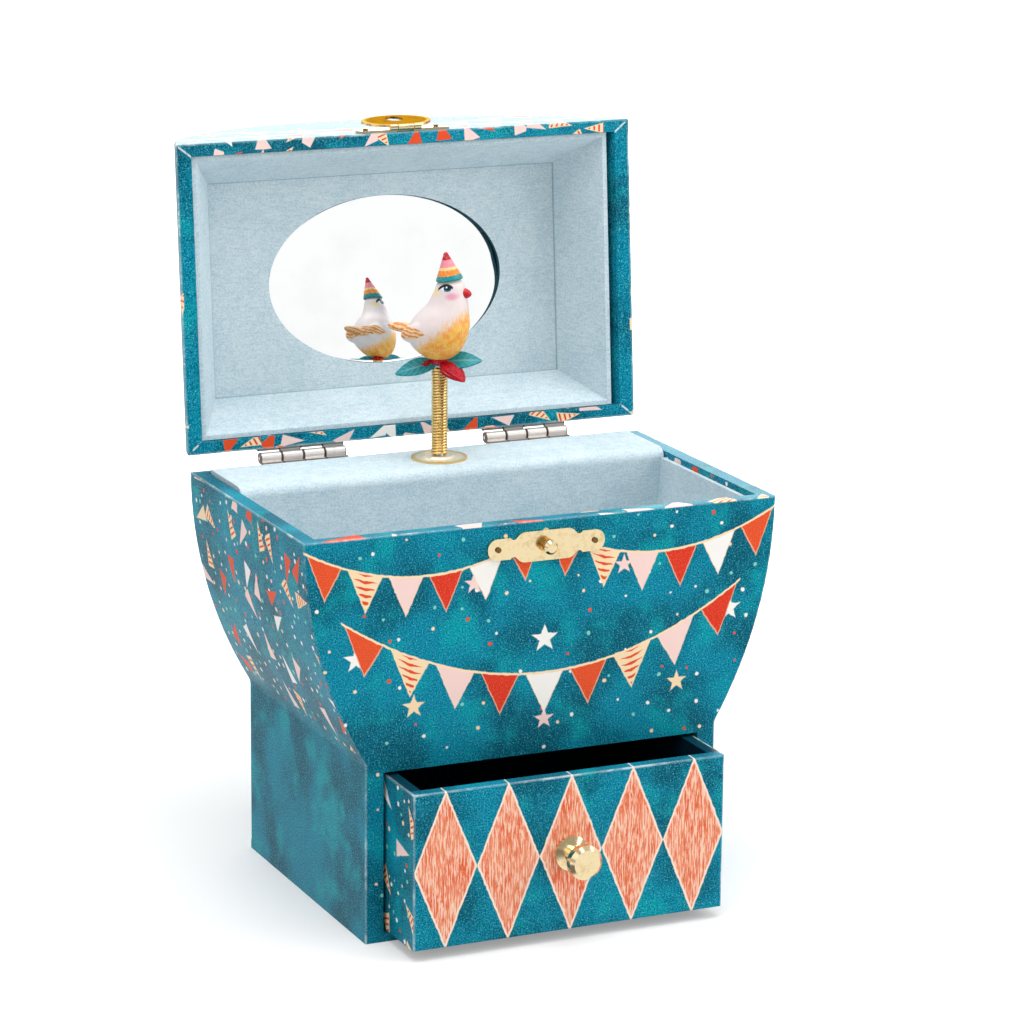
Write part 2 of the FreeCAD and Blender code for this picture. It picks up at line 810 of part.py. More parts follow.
def figure_spring():
    edges = []
    for half in range(2 * spring_turns):
        edges.extend(biarc(half / 2, (half + 1) / 2))
    path = Part.Wire(Part.__sortEdges__(edges))
    section = Part.Wire(Part.makeCircle(spring_wire / 2, helix_point(0), helix_tangent(0)))
    pipe = Part.BRepOffsetAPI.MakePipeShell(path)
    pipe.add(section)
    pipe.build()
    pipe.makeSolid()
    save("figure_spring", pipe.shape())
    print("figure_spring least gap to itself, mm:", round(least_spring_gap(), 3))


def facing(angle):
    turn = math.radians(angle)
    return V(math.cos(turn), math.sin(turn), 0)


def bird_point(ahead, level):
    """A point in the bird's own upright plane, measured from the spindle line at its floor."""
    return V(0, spindle_y, bird_floor + level) + facing(bird_facing) * ahead


def bird_section(level_share, ahead_share, reach_share):
    centre = bird_point(bird_reach * ahead_share, bird_height * level_share)
    reach = bird_reach * reach_share
    front = centre + facing(bird_facing) * reach
    flank = centre + facing(bird_facing + 90) * (reach * bird_width_share)
    return Part.Wire(Part.Ellipse(front, flank, centre).toShape())


def bird():
    """A pear-shaped bird with its chest forward, a level tail, a short beak, a cone hat and a peg below."""
    forward = facing(bird_facing)
    body = Part.makeLoft([bird_section(*row) for row in bird_profile], True, False)

    tail_root = bird_point(tail_root_ahead, tail_root_level)
    run = bird_point(-tail_length, tail_level) - tail_root
    tail = Part.makeCone(tail_root_radius, tail_tip_radius, run.Length, tail_root, run)
    beak_root = bird_point(beak_ahead, beak_level)
    beak = Part.makeCone(beak_radius, beak_tip_radius, beak_length, beak_root, forward)
    peg = rod(peg_radius, bird_point(0, -peg_length), bird_point(0, bird_height / 6))
    save("bird", fuse_all([body, tail, beak, peg]))

    hat_axis = (Z_AXIS - forward * math.tan(math.radians(hat_tilt))).normalize()
    hat = Part.makeCone(hat_radius, hat_tip_radius, hat_height, bird_point(hat_ahead, hat_level), hat_axis)
    save("cone_hat", hat.cut(body))


def leaf(length, width, droop, roll):
    """A pointed leaf along +X from the spindle line, rolled about its length, its tip turned down."""
    start = rosette_radius * leaf_root_share
    middle = (start + length) / 2
    root, tip = V(start, 0, 0), V(length, 0, 0)
    near = Part.Arc(root, V(middle, -width / 2, 0), tip).toShape()
    far = Part.Arc(tip, V(middle, width / 2, 0), root).toShape()
    sheet = Part.Face(Part.Wire([near, far])).extrude(V(0, 0, leaf_sheet))
    pivot = V(start, 0, leaf_sheet / 2)
    return sheet.rotated(pivot, X_AXIS, roll).rotated(pivot, Y_AXIS, droop)


def rosette(level, blades):
    """A small hub on the bird's peg with its leaves, each given with the way that it points."""
    foot = V(0, spindle_y, level)
    pieces = [rod(rosette_radius, foot, foot + Z_AXIS * rosette_thickness)]
    for turn, blade in blades:
        pieces.append(blade.rotated(ORIGIN, Z_AXIS, turn).translated(foot))
    peg_hole = rod(peg_radius + running_gap, foot - Z_AXIS * peg_length, foot + Z_AXIS * peg_length)
    return fuse_all(pieces).cut(peg_hole)


def leaves():
    """Two teal leaves with their front edges low, and two red ones above them that hang."""
    blades = []
    turn = leaf_facing
    for length, droop, roll in zip(leaf_lengths, leaf_droops, leaf_rolls):
        blades.append((turn, leaf(length, leaf_width, droop, roll)))
        turn += 180
    teal = rosette(rosette_floor, blades)
    petal = leaf(petal_length, petal_width, petal_droop, 0)
    blades = [(petal_facing, petal), (petal_facing + 180, petal)]
    red = rosette(rosette_floor + rosette_thickness, blades)
    save("teal_leaves", teal.cut(made["bird"]))
    save("red_leaves", red.cut(made["bird"]).cut(teal))


# Music movement


def gear_disc(teeth, module, width, tooth_at):
    """A spur wheel on the Z axis with plain tapered teeth, one of them centred on the given angle."""
    pitch_radius = teeth * module / 2
    root = pitch_radius - tooth_depth * module
    tip = pitch_radius + tooth_reach * module
    step = 2 * math.pi / teeth
    outline = []
    for index in range(teeth):
        centre = math.radians(tooth_at) + index * step
        for share, radius in ((-root_share, root), (-tip_share, tip), (tip_share, tip), (root_share, root)):
            angle = centre + share * step
            outline.append(V(radius * math.cos(angle), radius * math.sin(angle), 0))
    return polygon_face(outline).extrude(V(0, 0, width))


def along_x(shape, start):
    """Turn a shape drawn on the Z axis onto the X axis: its own +X then points up."""
    turned = shape.rotated(ORIGIN, Y_AXIS, 90).rotated(ORIGIN, X_AXIS, 180)
    return turned.translated(start)


def bedplate_sizes():
    """Left, right, low and high edges of the plate that carries the movement."""
    right = governor_frame_x()[1] + bracket_thickness + bedplate_margin
    low = barrel_z - comb_depth() - bedplate_margin / 2
    high = barrel_z + crown_radius + bedplate_margin
    return -bedplate_left, right, low, high


def bedplate_front():
    return back_inner - bedplate_thickness


def bedplate_screw_places():
    left, right, low, high = bedplate_sizes()
    inset = bedplate_margin / 2
    y = back_inner
    spots = [(left + inset, low + inset), (left + inset, high - inset), (right - inset, low + inset)]
    return [V(x, y, z) for x, z in spots]


def cylinder_span():
    """Start and end of the pinned drum along X."""
    start = crown_radius + crown_face / 2 + 2 * end_play + bracket_thickness
    return start, start + (note_count + 1) * note_pitch


def governor_frame_x():
    """X of the two plates that carry the governor."""
    inner = cylinder_span()[1] + wheel_width + 2 * end_play
    outer = inner + bracket_thickness + wheel_width + 2 * end_play
    return inner, outer


def governor_step():
    return (wheel_teeth + governor_pinion_teeth) * fine_module / 2


def comb_tip_drop():
    return cylinder_radius + pin_height + comb_gap


def comb_depth():
    return comb_tip_drop() + comb_tooth_length + comb_base


def movement_frame():
    left, right, low, high = bedplate_sizes()
    plate_y = bedplate_front()
    plate = box(left, right, plate_y, back_inner, low, high)
    arbor_hole = rod(arbor_radius + running_gap, V(0, plate_y, barrel_z), V(0, back_inner, barrel_z))
    screw_holes = []
    for place in bedplate_screw_places():
        screw_holes.append(rod(screw_radius + running_gap, place - Y_AXIS * bedplate_thickness, place))
    heel_holes = [rod(screw_radius + running_gap, a, b) for a, b in comb_screw_lines()]
    save("movement_bedplate", cut_all(plate, [arbor_hole] + screw_holes + heel_holes))

    start, end = cylinder_span()
    heel_high = barrel_z - comb_depth() + comb_base
    heel = box(start, end, spindle_y + comb_thickness / 2, plate_y, heel_high - comb_base, heel_high)
    save("comb_heel", cut_all(heel, heel_holes))

    inner_x = start - end_play - bracket_thickness
    low_z = barrel_z - bracket_width / 2
    front_y = spindle_y - bracket_width / 2
    post = box(inner_x, inner_x + bracket_thickness, front_y, plate_y, low_z, low_z + bracket_width)
    bore = rod(
        shaft_radius + running_gap,
        V(inner_x, spindle_y, barrel_z),
        V(inner_x + bracket_thickness, spindle_y, barrel_z),
    )
    save("cylinder_bracket", post.cut(bore))

    plates = []
    high_z = barrel_z + 2 * governor_step() + bracket_width / 2
    for x, foot in zip(governor_frame_x(), (low_z, barrel_z + governor_step() - bracket_width / 2)):
        plate = box(x, x + bracket_thickness, front_y, plate_y, foot, high_z)
        bores = []
        for count in range(3):
            centre = V(x, spindle_y, barrel_z + count * governor_step())
            bores.append(rod(shaft_radius + running_gap, centre, centre + X_AXIS * bracket_thickness))
        plates.append(cut_all(plate, bores))
    save("governor_frame", Part.makeCompound(plates))

    bracket_z = barrel_z + crown_radius + pinion_width / 2 + end_play
    half = bracket_width / 2
    bridge = box(-half, half, front_y, plate_y, bracket_z, bracket_z + bracket_thickness)
    bore = rod(
        spindle_radius + running_gap,
        V(0, spindle_y, bracket_z),
        V(0, spindle_y, bracket_z + bracket_thickness),
    )
    save("spindle_bracket", bridge.cut(bore))

    screws = []
    for place in bedplate_screw_places():
        head_at = place - Y_AXIS * bedplate_thickness
        head = rod(screw_head_radius, head_at - Y_AXIS * screw_head_height, head_at)
        screws.append(head.fuse(rod(screw_radius, head_at, place + Y_AXIS * (end_board / 2))))
    for front, rear in comb_screw_lines():
        head = rod(screw_head_radius, front - Y_AXIS * screw_head_height, front)
        screws.append(head.fuse(rod(screw_radius, front, rear)))
    save("movement_screws", Part.makeCompound(screws))


def comb_screw_lines():
    """Front and rear ends of the screws through the comb, its heel and the bedplate."""
    start, end = cylinder_span()
    z = barrel_z - comb_depth() + comb_base / 2
    lines = []
    for share in (0.2, 0.8):
        x = start + share * (end - start)
        lines.append((V(x, spindle_y - comb_thickness / 2, z), V(x, back_inner, z)))
    return lines


def comb():
    start, end = cylinder_span()
    low = barrel_z - comb_depth()
    front = spindle_y - comb_thickness / 2
    plate = box(start, end, front, front + comb_thickness, low, barrel_z - comb_tip_drop())
    slits = []
    for index in range(note_count + 2):
        x = start + index * note_pitch - comb_slit / 2
        slits.append(box(x, x + comb_slit, front, front + comb_thickness, low + comb_base, barrel_z))
    holes = [rod(screw_radius + running_gap, a, b) for a, b in comb_screw_lines()]
    save("comb", cut_all(plate, slits + holes))


def spring_barrel():
    """A going barrel: crown wheel in front, drum behind it, with the mainspring coiled inside."""
    root_y = crown_pitch_y - tooth_depth * crown_module
    centre = V(0, root_y - crown_disc, barrel_z)
    disc = rod(crown_radius + crown_face / 2, centre, V(0, root_y, barrel_z))
    drum_end = bedplate_front() - barrel_clearance
    drum = rod(barrel_radius, V(0, root_y, barrel_z), V(0, drum_end, barrel_z))
    hollow = rod(barrel_radius - barrel_wall, V(0, root_y, barrel_z), V(0, drum_end, barrel_z))
    teeth = []
    pitch = math.pi * crown_module
    inner = crown_radius - crown_face / 2
    outer = crown_radius + crown_face / 2
    tooth_end = math.sqrt(outer ** 2 - (root_share * pitch) ** 2)
    tip_y = crown_pitch_y + tooth_reach * crown_module
    for index in range(crown_teeth):
        section = polygon_face(
            [
                V(-root_share * pitch, root_y, barrel_z + inner),
                V(root_share * pitch, root_y, barrel_z + inner),
                V(tip_share * pitch, tip_y, barrel_z + inner),
                V(-tip_share * pitch, tip_y, barrel_z + inner),
            ]
        )
        tooth = section.extrude(V(0, 0, tooth_end - inner))
        teeth.append(tooth.rotated(V(0, 0, barrel_z), Y_AXIS, index * 360 / crown_teeth))
    wheel = fuse_all([disc, drum] + teeth)
    bore = rod(arbor_radius + running_gap, centre, V(0, root_y, barrel_z))
    save("spring_barrel", cut_all(wheel, [hollow, bore]))

    pack_ends = (V(0, root_y + end_play, barrel_z), V(0, drum_end - end_play, barrel_z))
    pack = rod(barrel_radius - barrel_wall - running_gap, *pack_ends)
    save("mainspring", pack.cut(rod(mainspring_bore, *pack_ends)))

    front_end = centre - Y_AXIS * end_play
    arbor_end = V(0, half_depth + key_gap + key_hub_length, barrel_z)
    collar_start = V(0, drum_end + end_play, barrel_z)
    collar_end = V(0, bedplate_front() - end_play, barrel_z)
    collar = rod(arbor_collar_radius, collar_start, collar_end)
    save("winding_arbor", rod(arbor_radius, front_end, arbor_end).fuse(collar))


def winding_key():
    hub_start = V(0, half_depth + key_gap, barrel_z)
    hub_end = hub_start + Y_AXIS * key_hub_length
    hub = rod(key_hub_radius, hub_start, hub_end + Y_AXIS * key_wing_radius)
    wing_y = hub_end.y + key_wing_radius
    low = barrel_z - key_wing_thickness / 2
    pieces = [hub]
    holes = [rod(arbor_radius + running_gap, hub_start, hub_end + Y_AXIS * running_gap)]
    for side in (-1, 1):
        centre = V(side * (key_wing_radius + key_hub_radius / 2), wing_y, low)
        pieces.append(rod(key_wing_radius, centre, centre + Z_AXIS * key_wing_thickness))
        holes.append(rod(key_wing_hole, centre, centre + Z_AXIS * key_wing_thickness))
    save("winding_key", cut_all(fuse_all(pieces), holes))


def drive_spindle():
    """The upright shaft that the crown wheel turns; its top end stands in the foot of the spring."""
    pinion_low = barrel_z + crown_radius - pinion_width / 2
    gap_at = -90 + 180 / pinion_teeth
    pinion = gear_disc(pinion_teeth, crown_module, pinion_width, gap_at)
    pinion = pinion.translated(V(0, spindle_y, pinion_low))
    top = spring_foot + 2 * spring_pitch
    shaft = rod(spindle_radius, V(0, spindle_y, pinion_low), V(0, spindle_y, top))
    save("drive_spindle", pinion.fuse(shaft))


def music_cylinder():
    start, end = cylinder_span()
    centre = V(start, spindle_y, barrel_z)
    drum = rod(cylinder_radius, centre, V(end, spindle_y, barrel_z))
    pins = []
    for note in range(note_count):
        for beat in range(3):
            angle = math.radians(note * note_turn + beat * 120)
            out = V(0, math.cos(angle), math.sin(angle))
            base = centre + X_AXIS * ((note + 1) * note_pitch - note_pitch / 2)
            tip = base + out * (cylinder_radius + pin_height)
            pins.append(rod(pin_radius, base + out * (cylinder_radius - pin_height), tip))
    pinion_start = crown_radius - pinion_width / 2
    frame_end = governor_frame_x()[0] + bracket_thickness
    shaft = rod(shaft_radius, V(pinion_start, spindle_y, barrel_z), V(frame_end, spindle_y, barrel_z))
    pinion = gear_disc(pinion_teeth, crown_module, pinion_width, 90 + 180 / pinion_teeth)
    pinion = along_x(pinion, V(pinion_start, spindle_y, barrel_z))
    wheel = along_x(gear_disc(wheel_teeth, fine_module, wheel_width, 0), V(end, spindle_y, barrel_z))
    save("music_cylinder", fuse_all([drum, shaft, pinion, wheel] + pins))


def governor():
    """A wheel and pinion that step the cylinder's speed up, and the fan that the air holds back."""
    end = cylinder_span()[1]
    inner_x, outer_x = governor_frame_x()
    z = barrel_z + governor_step()
    wheel_start = inner_x + bracket_thickness + end_play
    gap_at = 180 + 180 / governor_pinion_teeth
    pinion = gear_disc(governor_pinion_teeth, fine_module, wheel_width, gap_at)
    pinion = along_x(pinion, V(end, spindle_y, z))
    wheel = along_x(gear_disc(wheel_teeth, fine_module, wheel_width, 0), V(wheel_start, spindle_y, z))
    shaft = rod(shaft_radius, V(end, spindle_y, z), V(outer_x + bracket_thickness, spindle_y, z))
    save("governor_wheel", fuse_all([shaft, pinion, wheel]))

    fly_z = z + governor_step()
    fly_pinion = gear_disc(governor_pinion_teeth, fine_module, wheel_width, gap_at)
    fly_pinion = along_x(fly_pinion, V(wheel_start, spindle_y, fly_z))
    fan_start = outer_x + bracket_thickness + end_play
    shaft = rod(shaft_radius, V(inner_x, spindle_y, fly_z), V(fan_start + fan_length, spindle_y, fly_z))
    blade = box(
        fan_start,
        fan_start + fan_length,
        spindle_y - fan_radius,
        spindle_y + fan_radius,
        fly_z - fan_thickness / 2,
        fly_z + fan_thickness / 2,
    )
    save("governor_fly", fuse_all([shaft, fly_pinion, blade]))


case_boards()
jewel_well()
movement_deck()
catch()
hinges()
hasp()
nails()
lid_boards()
lid_lining()
drawer()
spindle_flange()
figure_spring()
bird()
leaves()
movement_frame()
comb()
spring_barrel()
winding_key()
drive_spindle()
music_cylinder()
governor()

os.makedirs("parts", exist_ok=True)
for node, solid in made.items():
    solid.exportStep(os.path.join("parts", node + ".step"))
print(len(made), "nodes written")
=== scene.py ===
# %% [markdown]
# # A paper-covered musical jewellery box
# The box is made of board wrapped in printed paper. A lined lid carries an oval mirror, a drawer slides out of
# the straight base, and a painted bird turns on a coil spring. The boards, hinges and movement come from the
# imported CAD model, which is the fixed frame. This lesson dresses that frame: it adds the camera and the light,
# gives every part a material made of nodes, and models the soft and sculpted pieces that CAD only roughs out.

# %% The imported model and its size
import math
import bmesh
import bpy
from mathutils import Matrix, Vector


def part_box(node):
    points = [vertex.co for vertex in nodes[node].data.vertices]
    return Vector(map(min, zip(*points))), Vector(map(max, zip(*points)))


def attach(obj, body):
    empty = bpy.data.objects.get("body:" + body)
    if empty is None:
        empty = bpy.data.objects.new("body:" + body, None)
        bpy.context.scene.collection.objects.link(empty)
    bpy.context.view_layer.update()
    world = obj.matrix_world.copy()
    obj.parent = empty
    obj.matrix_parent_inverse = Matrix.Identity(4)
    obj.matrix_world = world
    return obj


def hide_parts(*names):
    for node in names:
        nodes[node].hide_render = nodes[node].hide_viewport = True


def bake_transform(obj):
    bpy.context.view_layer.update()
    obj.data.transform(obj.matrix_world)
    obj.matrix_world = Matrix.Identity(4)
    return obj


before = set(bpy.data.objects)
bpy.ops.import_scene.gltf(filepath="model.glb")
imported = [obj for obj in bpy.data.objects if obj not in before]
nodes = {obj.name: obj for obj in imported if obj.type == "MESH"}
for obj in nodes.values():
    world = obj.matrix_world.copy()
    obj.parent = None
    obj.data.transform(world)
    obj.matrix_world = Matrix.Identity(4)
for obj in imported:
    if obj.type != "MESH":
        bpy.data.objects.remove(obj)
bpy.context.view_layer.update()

MM = 0.001

# %% [markdown]
# The photograph was taken with a long lens from a little above and to the left of the box. The three angles and
# the place below were solved from the box's own corners, so the frame of the render is the frame of the photo.
# A camera looks along its own -Z axis, so its matrix is made of the three directions: right, up and backwards.

# %% The camera
IMAGE_PX = 1024
FOCAL_PX = 3929.2
SENSOR_MM = 36.0
CAMERA_ANGLES = (24.473, 14.101, 0.531)
CAMERA_PLACE = Vector((-494.84, -1111.87, 426.48)) * MM

yaw, pitch, roll = (math.radians(angle) for angle in CAMERA_ANGLES)
ahead = Vector((math.sin(yaw) * math.cos(pitch), math.cos(yaw) * math.cos(pitch), -math.sin(pitch)))
level = Vector((math.cos(yaw), -math.sin(yaw), 0))
rise = level.cross(ahead)
across = level * math.cos(roll) + rise * math.sin(roll)
upward = rise * math.cos(roll) - level * math.sin(roll)

camera = bpy.data.objects.new("camera", bpy.data.cameras.new("camera"))
bpy.context.scene.collection.objects.link(camera)
camera.data.sensor_width = SENSOR_MM
camera.data.lens = FOCAL_PX / IMAGE_PX * SENSOR_MM
facing = Matrix((across, upward, -ahead)).transposed().to_4x4()
camera.matrix_world = Matrix.Translation(CAMERA_PLACE) @ facing
bpy.context.scene.camera = camera
print("lens, mm:", round(camera.data.lens, 1))

# %% [markdown]
# Shader maths reads best as ordinary sums. This class wraps one socket of a node tree: adding or multiplying two
# of them makes the Math node that does it. One method, `node`, makes every other kind of node from its type,
# its settings and what goes into its sockets.

# %% Sums that build shader nodes
class Wire:
    """One socket of a material. A sum written with it adds Math nodes to that material."""

    def __init__(self, tree, socket=None):
        self.tree = tree
        self.socket = socket

    def node(self, kind, settings=None, inputs=None, out=0):
        made = self.tree.nodes.new("ShaderNode" + kind)
        for name, value in (settings or {}).items():
            if name == "stops":
                set_stops(made.color_ramp, value)
            else:
                setattr(made, name, value)
        for name, value in (inputs or {}).items():
            if isinstance(value, Wire):
                self.tree.links.new(value.socket, made.inputs[name])
            else:
                made.inputs[name].default_value = value
        return Wire(self.tree, made.outputs[out])

    def sum(self, operation, *values):
        return self.node("Math", {"operation": operation}, dict(enumerate(values)))

    def __add__(self, other): return self.sum("ADD", self, other)
    def __radd__(self, other): return self.sum("ADD", other, self)
    def __sub__(self, other): return self.sum("SUBTRACT", self, other)
    def __rsub__(self, other): return self.sum("SUBTRACT", other, self)
    def __mul__(self, other): return self.sum("MULTIPLY", self, other)
    def __rmul__(self, other): return self.sum("MULTIPLY", other, self)
    def __truediv__(self, other): return self.sum("DIVIDE", self, other)
    def __mod__(self, other): return self.sum("FLOORED_MODULO", self, other)
    def __abs__(self): return self.sum("ABSOLUTE", self)
    def __lt__(self, other): return self.sum("LESS_THAN", self, other)
    def __gt__(self, other): return self.sum("GREATER_THAN", self, other)

    def root(self): return self.sum("SQRT", self)
    def floor(self): return self.sum("FLOOR", self)
    def sine(self): return self.sum("SINE", self)
    def least(self, other): return self.sum("MINIMUM", self, other)
    def most(self, other): return self.sum("MAXIMUM", self, other)

    def span(self, other):
        """The distance that two offsets at right angles make."""
        return (self * self + other * other).root()

    def soft(self, low, high):
        """0 up to low, 1 from high, with a smooth step between; low may be the larger."""
        step = {"interpolation_type": "SMOOTHSTEP"}
        return self.node("MapRange", step, {0: self, 1: low, 2: high, 3: 0.0, 4: 1.0})

    def split(self):
        return [self.node("SeparateXYZ", None, {0: self}, out) for out in range(3)]

    def join(self, x, y, z):
        return self.node("CombineXYZ", None, {0: x, 1: y, 2: z})

    def blend(self, under, over):
        """The colour under, painted over with another where this socket is 1."""
        return self.node("Mix", {"data_type": "RGBA"}, {0: self, 6: under, 7: over}, 2)

    def noise(self, scale, detail=2.0, rough=0.5):
        return self.node("TexNoise", None, {"Vector": self, "Scale": scale, "Detail": detail, "Roughness": rough})

    def banded(self, stops):
        """A colour for each range of values, from (start, colour) pairs."""
        return self.node("ValToRGB", {"stops": stops}, {0: self})

    def stretched(self, *factors):
        return self.node("VectorMath", {"operation": "MULTIPLY"}, {0: self, 1: factors})

    def minus(self, other):
        return self.node("VectorMath", {"operation": "SUBTRACT"}, {0: self, 1: other})


# %% [markdown]
# A material comes from a function that paints it: given a place on the part, it says what the shader gets there.

# %% Colours and materials
def set_stops(ramp, stops):
    """Gives a colour ramp its bands. A new ramp has two stops already."""
    ramp.interpolation = "CONSTANT"
    for place, unused in stops[2:]:
        ramp.elements.new(place)
    for element, (place, shade) in zip(ramp.elements, stops):
        element.position = place
        element.color = shade


def ink(code):
    """A printer's colour code as the linear colour that a shader works with."""
    parts = [int(code[i:i + 2], 16) / 255 for i in (0, 2, 4)]
    linear = [part / 12.92 if part <= 0.04045 else ((part + 0.055) / 1.055) ** 2.4 for part in parts]
    return (*linear, 1.0)


def finish(name, paint, shine=0.5, **fixed):
    """A material. paint is called with the place in millimetres and returns what changes over the surface. The
    shine and the fixed values go straight to the shader's sockets, with _ for a space in a socket's name."""
    material = bpy.data.materials.new(name)
    material.use_nodes = True
    tree = material.node_tree
    shader = tree.nodes["Principled BSDF"]
    place = Wire(tree).node("TexCoord", None, None, "Object").stretched(1 / MM, 1 / MM, 1 / MM)
    painted = paint(place)
    height = painted.pop("height", None)
    if height is not None:
        depth = painted.pop("depth", 0.1)
        bump = place.node("Bump", None, {"Strength": 1.0, "Distance": depth * MM, "Height": height})
        tree.links.new(bump.socket, shader.inputs["Normal"])
    for socket, value in painted.items():
        tree.links.new(value.socket, shader.inputs[socket])
    shader.inputs["Specular IOR Level"].default_value = shine
    for socket, value in fixed.items():
        shader.inputs[socket.replace("_", " ")].default_value = value
    return material


def glaze(painted, mask, colour):
    """The same paint with another colour over it where the mask is 1."""
    return {**painted, "Base Color": mask.blend(painted["Base Color"], colour)}


def dress(material, *names):
    for name in names:
        nodes[name].material_slots[0].material = material
    print(material.name, "on", ", ".join(names))


# %% [markdown]
# The box stands on a white sweep in soft studio light. The floor and the world show white to rays that come from
# the camera, from the mirror or from a clear surface, which the Light Path node tells apart. A glossy surface sees
# them white too, except for the dark of the room behind the camera and of the camera's own stand, and that dark
# is what gives the brass its deep tones. Other rays meet a plain floor and a dimmer world, so the white background
# adds no light to the box and the floor still takes its shadow.

# %% White sweep, world and lamps
scene = bpy.context.scene
scene.view_settings.view_transform = "Standard"


def ray(wire, *kinds):
    """1 for a ray of any of these kinds."""
    found = wire.node("LightPath", None, None, kinds[0])
    for kind in kinds[1:]:
        found = found.most(wire.node("LightPath", None, None, kind))
    return found


CLEAR_RAYS = ("Is Camera Ray", "Is Transmission Ray", "Is Singular Ray")
AMBIENT, DARK_SIDE = 0.5, 0.4
WHITE_LIGHT, FLOOR_GREY, SHADOW_GREY = (1, 1, 1, 1), (0.8, 0.8, 0.8, 1), (0.75, 0.75, 0.75, 1)
FLOOR_HALF, GLOW_NEAR = 3.0, 0.3
world = bpy.data.worlds.new("studio")
scene.world = world
world.use_nodes = True
sky = Wire(world.node_tree)
ahead_of_box = sky.node("TexCoord", None, None, "Generated").split()[1].soft(-0.7, 0.2)
dim = ray(sky, "Is Glossy Ray").blend((AMBIENT,) * 3 + (1,), DARK_SIDE + ahead_of_box * (1 - DARK_SIDE))
sky_light = world.node_tree.nodes["Background"]
seen_sky = ray(sky, *CLEAR_RAYS).blend(dim, WHITE_LIGHT)
world.node_tree.links.new(seen_sky.socket, sky_light.inputs["Color"])

sweep_material = bpy.data.materials.new("white_sweep")
sweep_material.use_nodes = True
sweep_tree = sweep_material.node_tree
sweep_tree.nodes.remove(sweep_tree.nodes["Principled BSDF"])
sweep = Wire(sweep_tree)
away_x, away_y, unused = sweep.node("TexCoord", None, None, "Object").split()
away = away_x.span(away_y)
plain = sweep.node("BsdfDiffuse", None, {"Color": FLOOR_GREY})
shaded = sweep.node("BsdfDiffuse", None, {"Color": SHADOW_GREY})
strength = GLOW_NEAR + away.soft(0.15, 0.7) * (1 - GLOW_NEAR)
glow = sweep.node("Emission", None, {"Color": WHITE_LIGHT, "Strength": strength})
lifted = sweep.node("AddShader", None, {0: shaded, 1: glow})
towards_camera = (away_x * -ahead.x - away_y * ahead.y) / away / ahead.xy.length
camera_stand = towards_camera.soft(0.955, 0.985) * 0.8
room = away.soft(0.75, 1.3) * away_y.soft(0.0, -0.3) * (1 - DARK_SIDE)
far_side = sweep.node("Emission", None, {"Strength": 1 - camera_stand.most(room)})
dull = sweep.node("MixShader", None, {0: ray(sweep, "Is Glossy Ray"), 1: plain, 2: far_side})
shown = sweep.node("MixShader", None, {0: ray(sweep, *CLEAR_RAYS), 1: dull, 2: lifted})
sweep_tree.links.new(shown.socket, sweep_tree.nodes["Material Output"].inputs["Surface"])


def mesh_object(name, bm, material):
    mesh = bpy.data.meshes.new(name)
    bm.to_mesh(mesh)
    bm.free()
    made = bpy.data.objects.new(name, mesh)
    scene.collection.objects.link(made)
    made.data.materials.append(material)
    return made


bm = bmesh.new()
bmesh.ops.create_grid(bm, x_segments=8, y_segments=8, size=FLOOR_HALF)
floor = mesh_object("floor", bm, sweep_material)


def lamp(name, place, aim, size, watts):
    light = bpy.data.lights.new(name, "AREA")
    light.shape = "RECTANGLE"
    light.size, light.size_y = size
    light.energy = watts
    lamp_object = bpy.data.objects.new(name, light)
    lamp_object.location = place
    lamp_object.rotation_euler = (Vector(aim) - Vector(place)).to_track_quat("-Z", "Y").to_euler()
    lamp_object.visible_camera = False
    scene.collection.objects.link(lamp_object)


lamp("overhead_softbox", (-0.1, -0.1, 1.4), (0, 0, 0.1), (1.1, 1.1), 15.0)
lamp("right_softbox", (1.2, -0.75, 0.75), (0, 0, 0.12), (0.9, 0.9), 9.5)
lamp("left_softbox", (-1.15, -0.7, 0.8), (0, 0, 0.1), (0.9, 0.9), 1.8)
lamp("back_softbox", (0.5, 1.5, 0.42), (0, 0, 0.2), (1.8, 0.7), 9.0)

# %% [markdown]
# The outside of the box is paper rubbed with teal crayon: dark and light clouds, fine upright strokes and pale
# specks where the chalky grain shows through. Each is a noise texture at its own size, from 25 mm clouds down to
# grain of half a millimetre. The paper is nearly matt, so it picks up little of the white studio.

# %% Crayon-rubbed teal paper
DEEP_TEAL, TEAL, SEA_GREEN, HAZE = ink("045A70"), ink("0588A4"), ink("00A6B0"), ink("2E92AE")
PIT, CHALK, PALE_SPECK, WORN_PAPER = ink("033F54"), ink("45B4C2"), ink("7CC6D0"), ink("DDE9E9")


def teal_ground(place):
    """The crayon ground: its colour and the grain that its bump and gloss follow."""
    clouds = place.noise(0.04, 3.0).soft(0.36, 0.60)
    bright = place.noise(0.075, 2.0, 0.6).soft(0.50, 0.72)
    strokes = place.stretched(1.0, 1.0, 0.25).noise(1.2, 2.0, 0.6)
    grain = place.noise(2.1, 2.0, 0.65)
    colour = clouds.blend(DEEP_TEAL, TEAL)
    colour = (bright * 0.75).blend(colour, SEA_GREEN)
    colour = (strokes.soft(0.50, 0.70) * 0.45).blend(colour, HAZE)
    colour = (grain.soft(0.50, 0.36) * 0.7).blend(colour, PIT)
    colour = (grain.soft(0.52, 0.66) * 0.6).blend(colour, CHALK)
    specks = grain.soft(0.62, 0.72) * (0.25 + place.noise(0.11, 1.0).soft(0.42, 0.62) * 0.5)
    colour = specks.blend(colour, PALE_SPECK)
    return colour, grain


def worn_folds(place, colour, a, b, c):
    """Pale paper core showing in places along the folds. a, b and c are the distances to the surfaces that meet
    there."""
    distance = (a + b).least(a + c).least(b + c)
    rubbed = place.noise(0.09, 4.0, 0.65).soft(0.50, 0.66)
    fold = distance.soft(0.8, 0.15) * (0.22 + 0.6 * rubbed)
    return fold.blend(colour, WORN_PAPER)


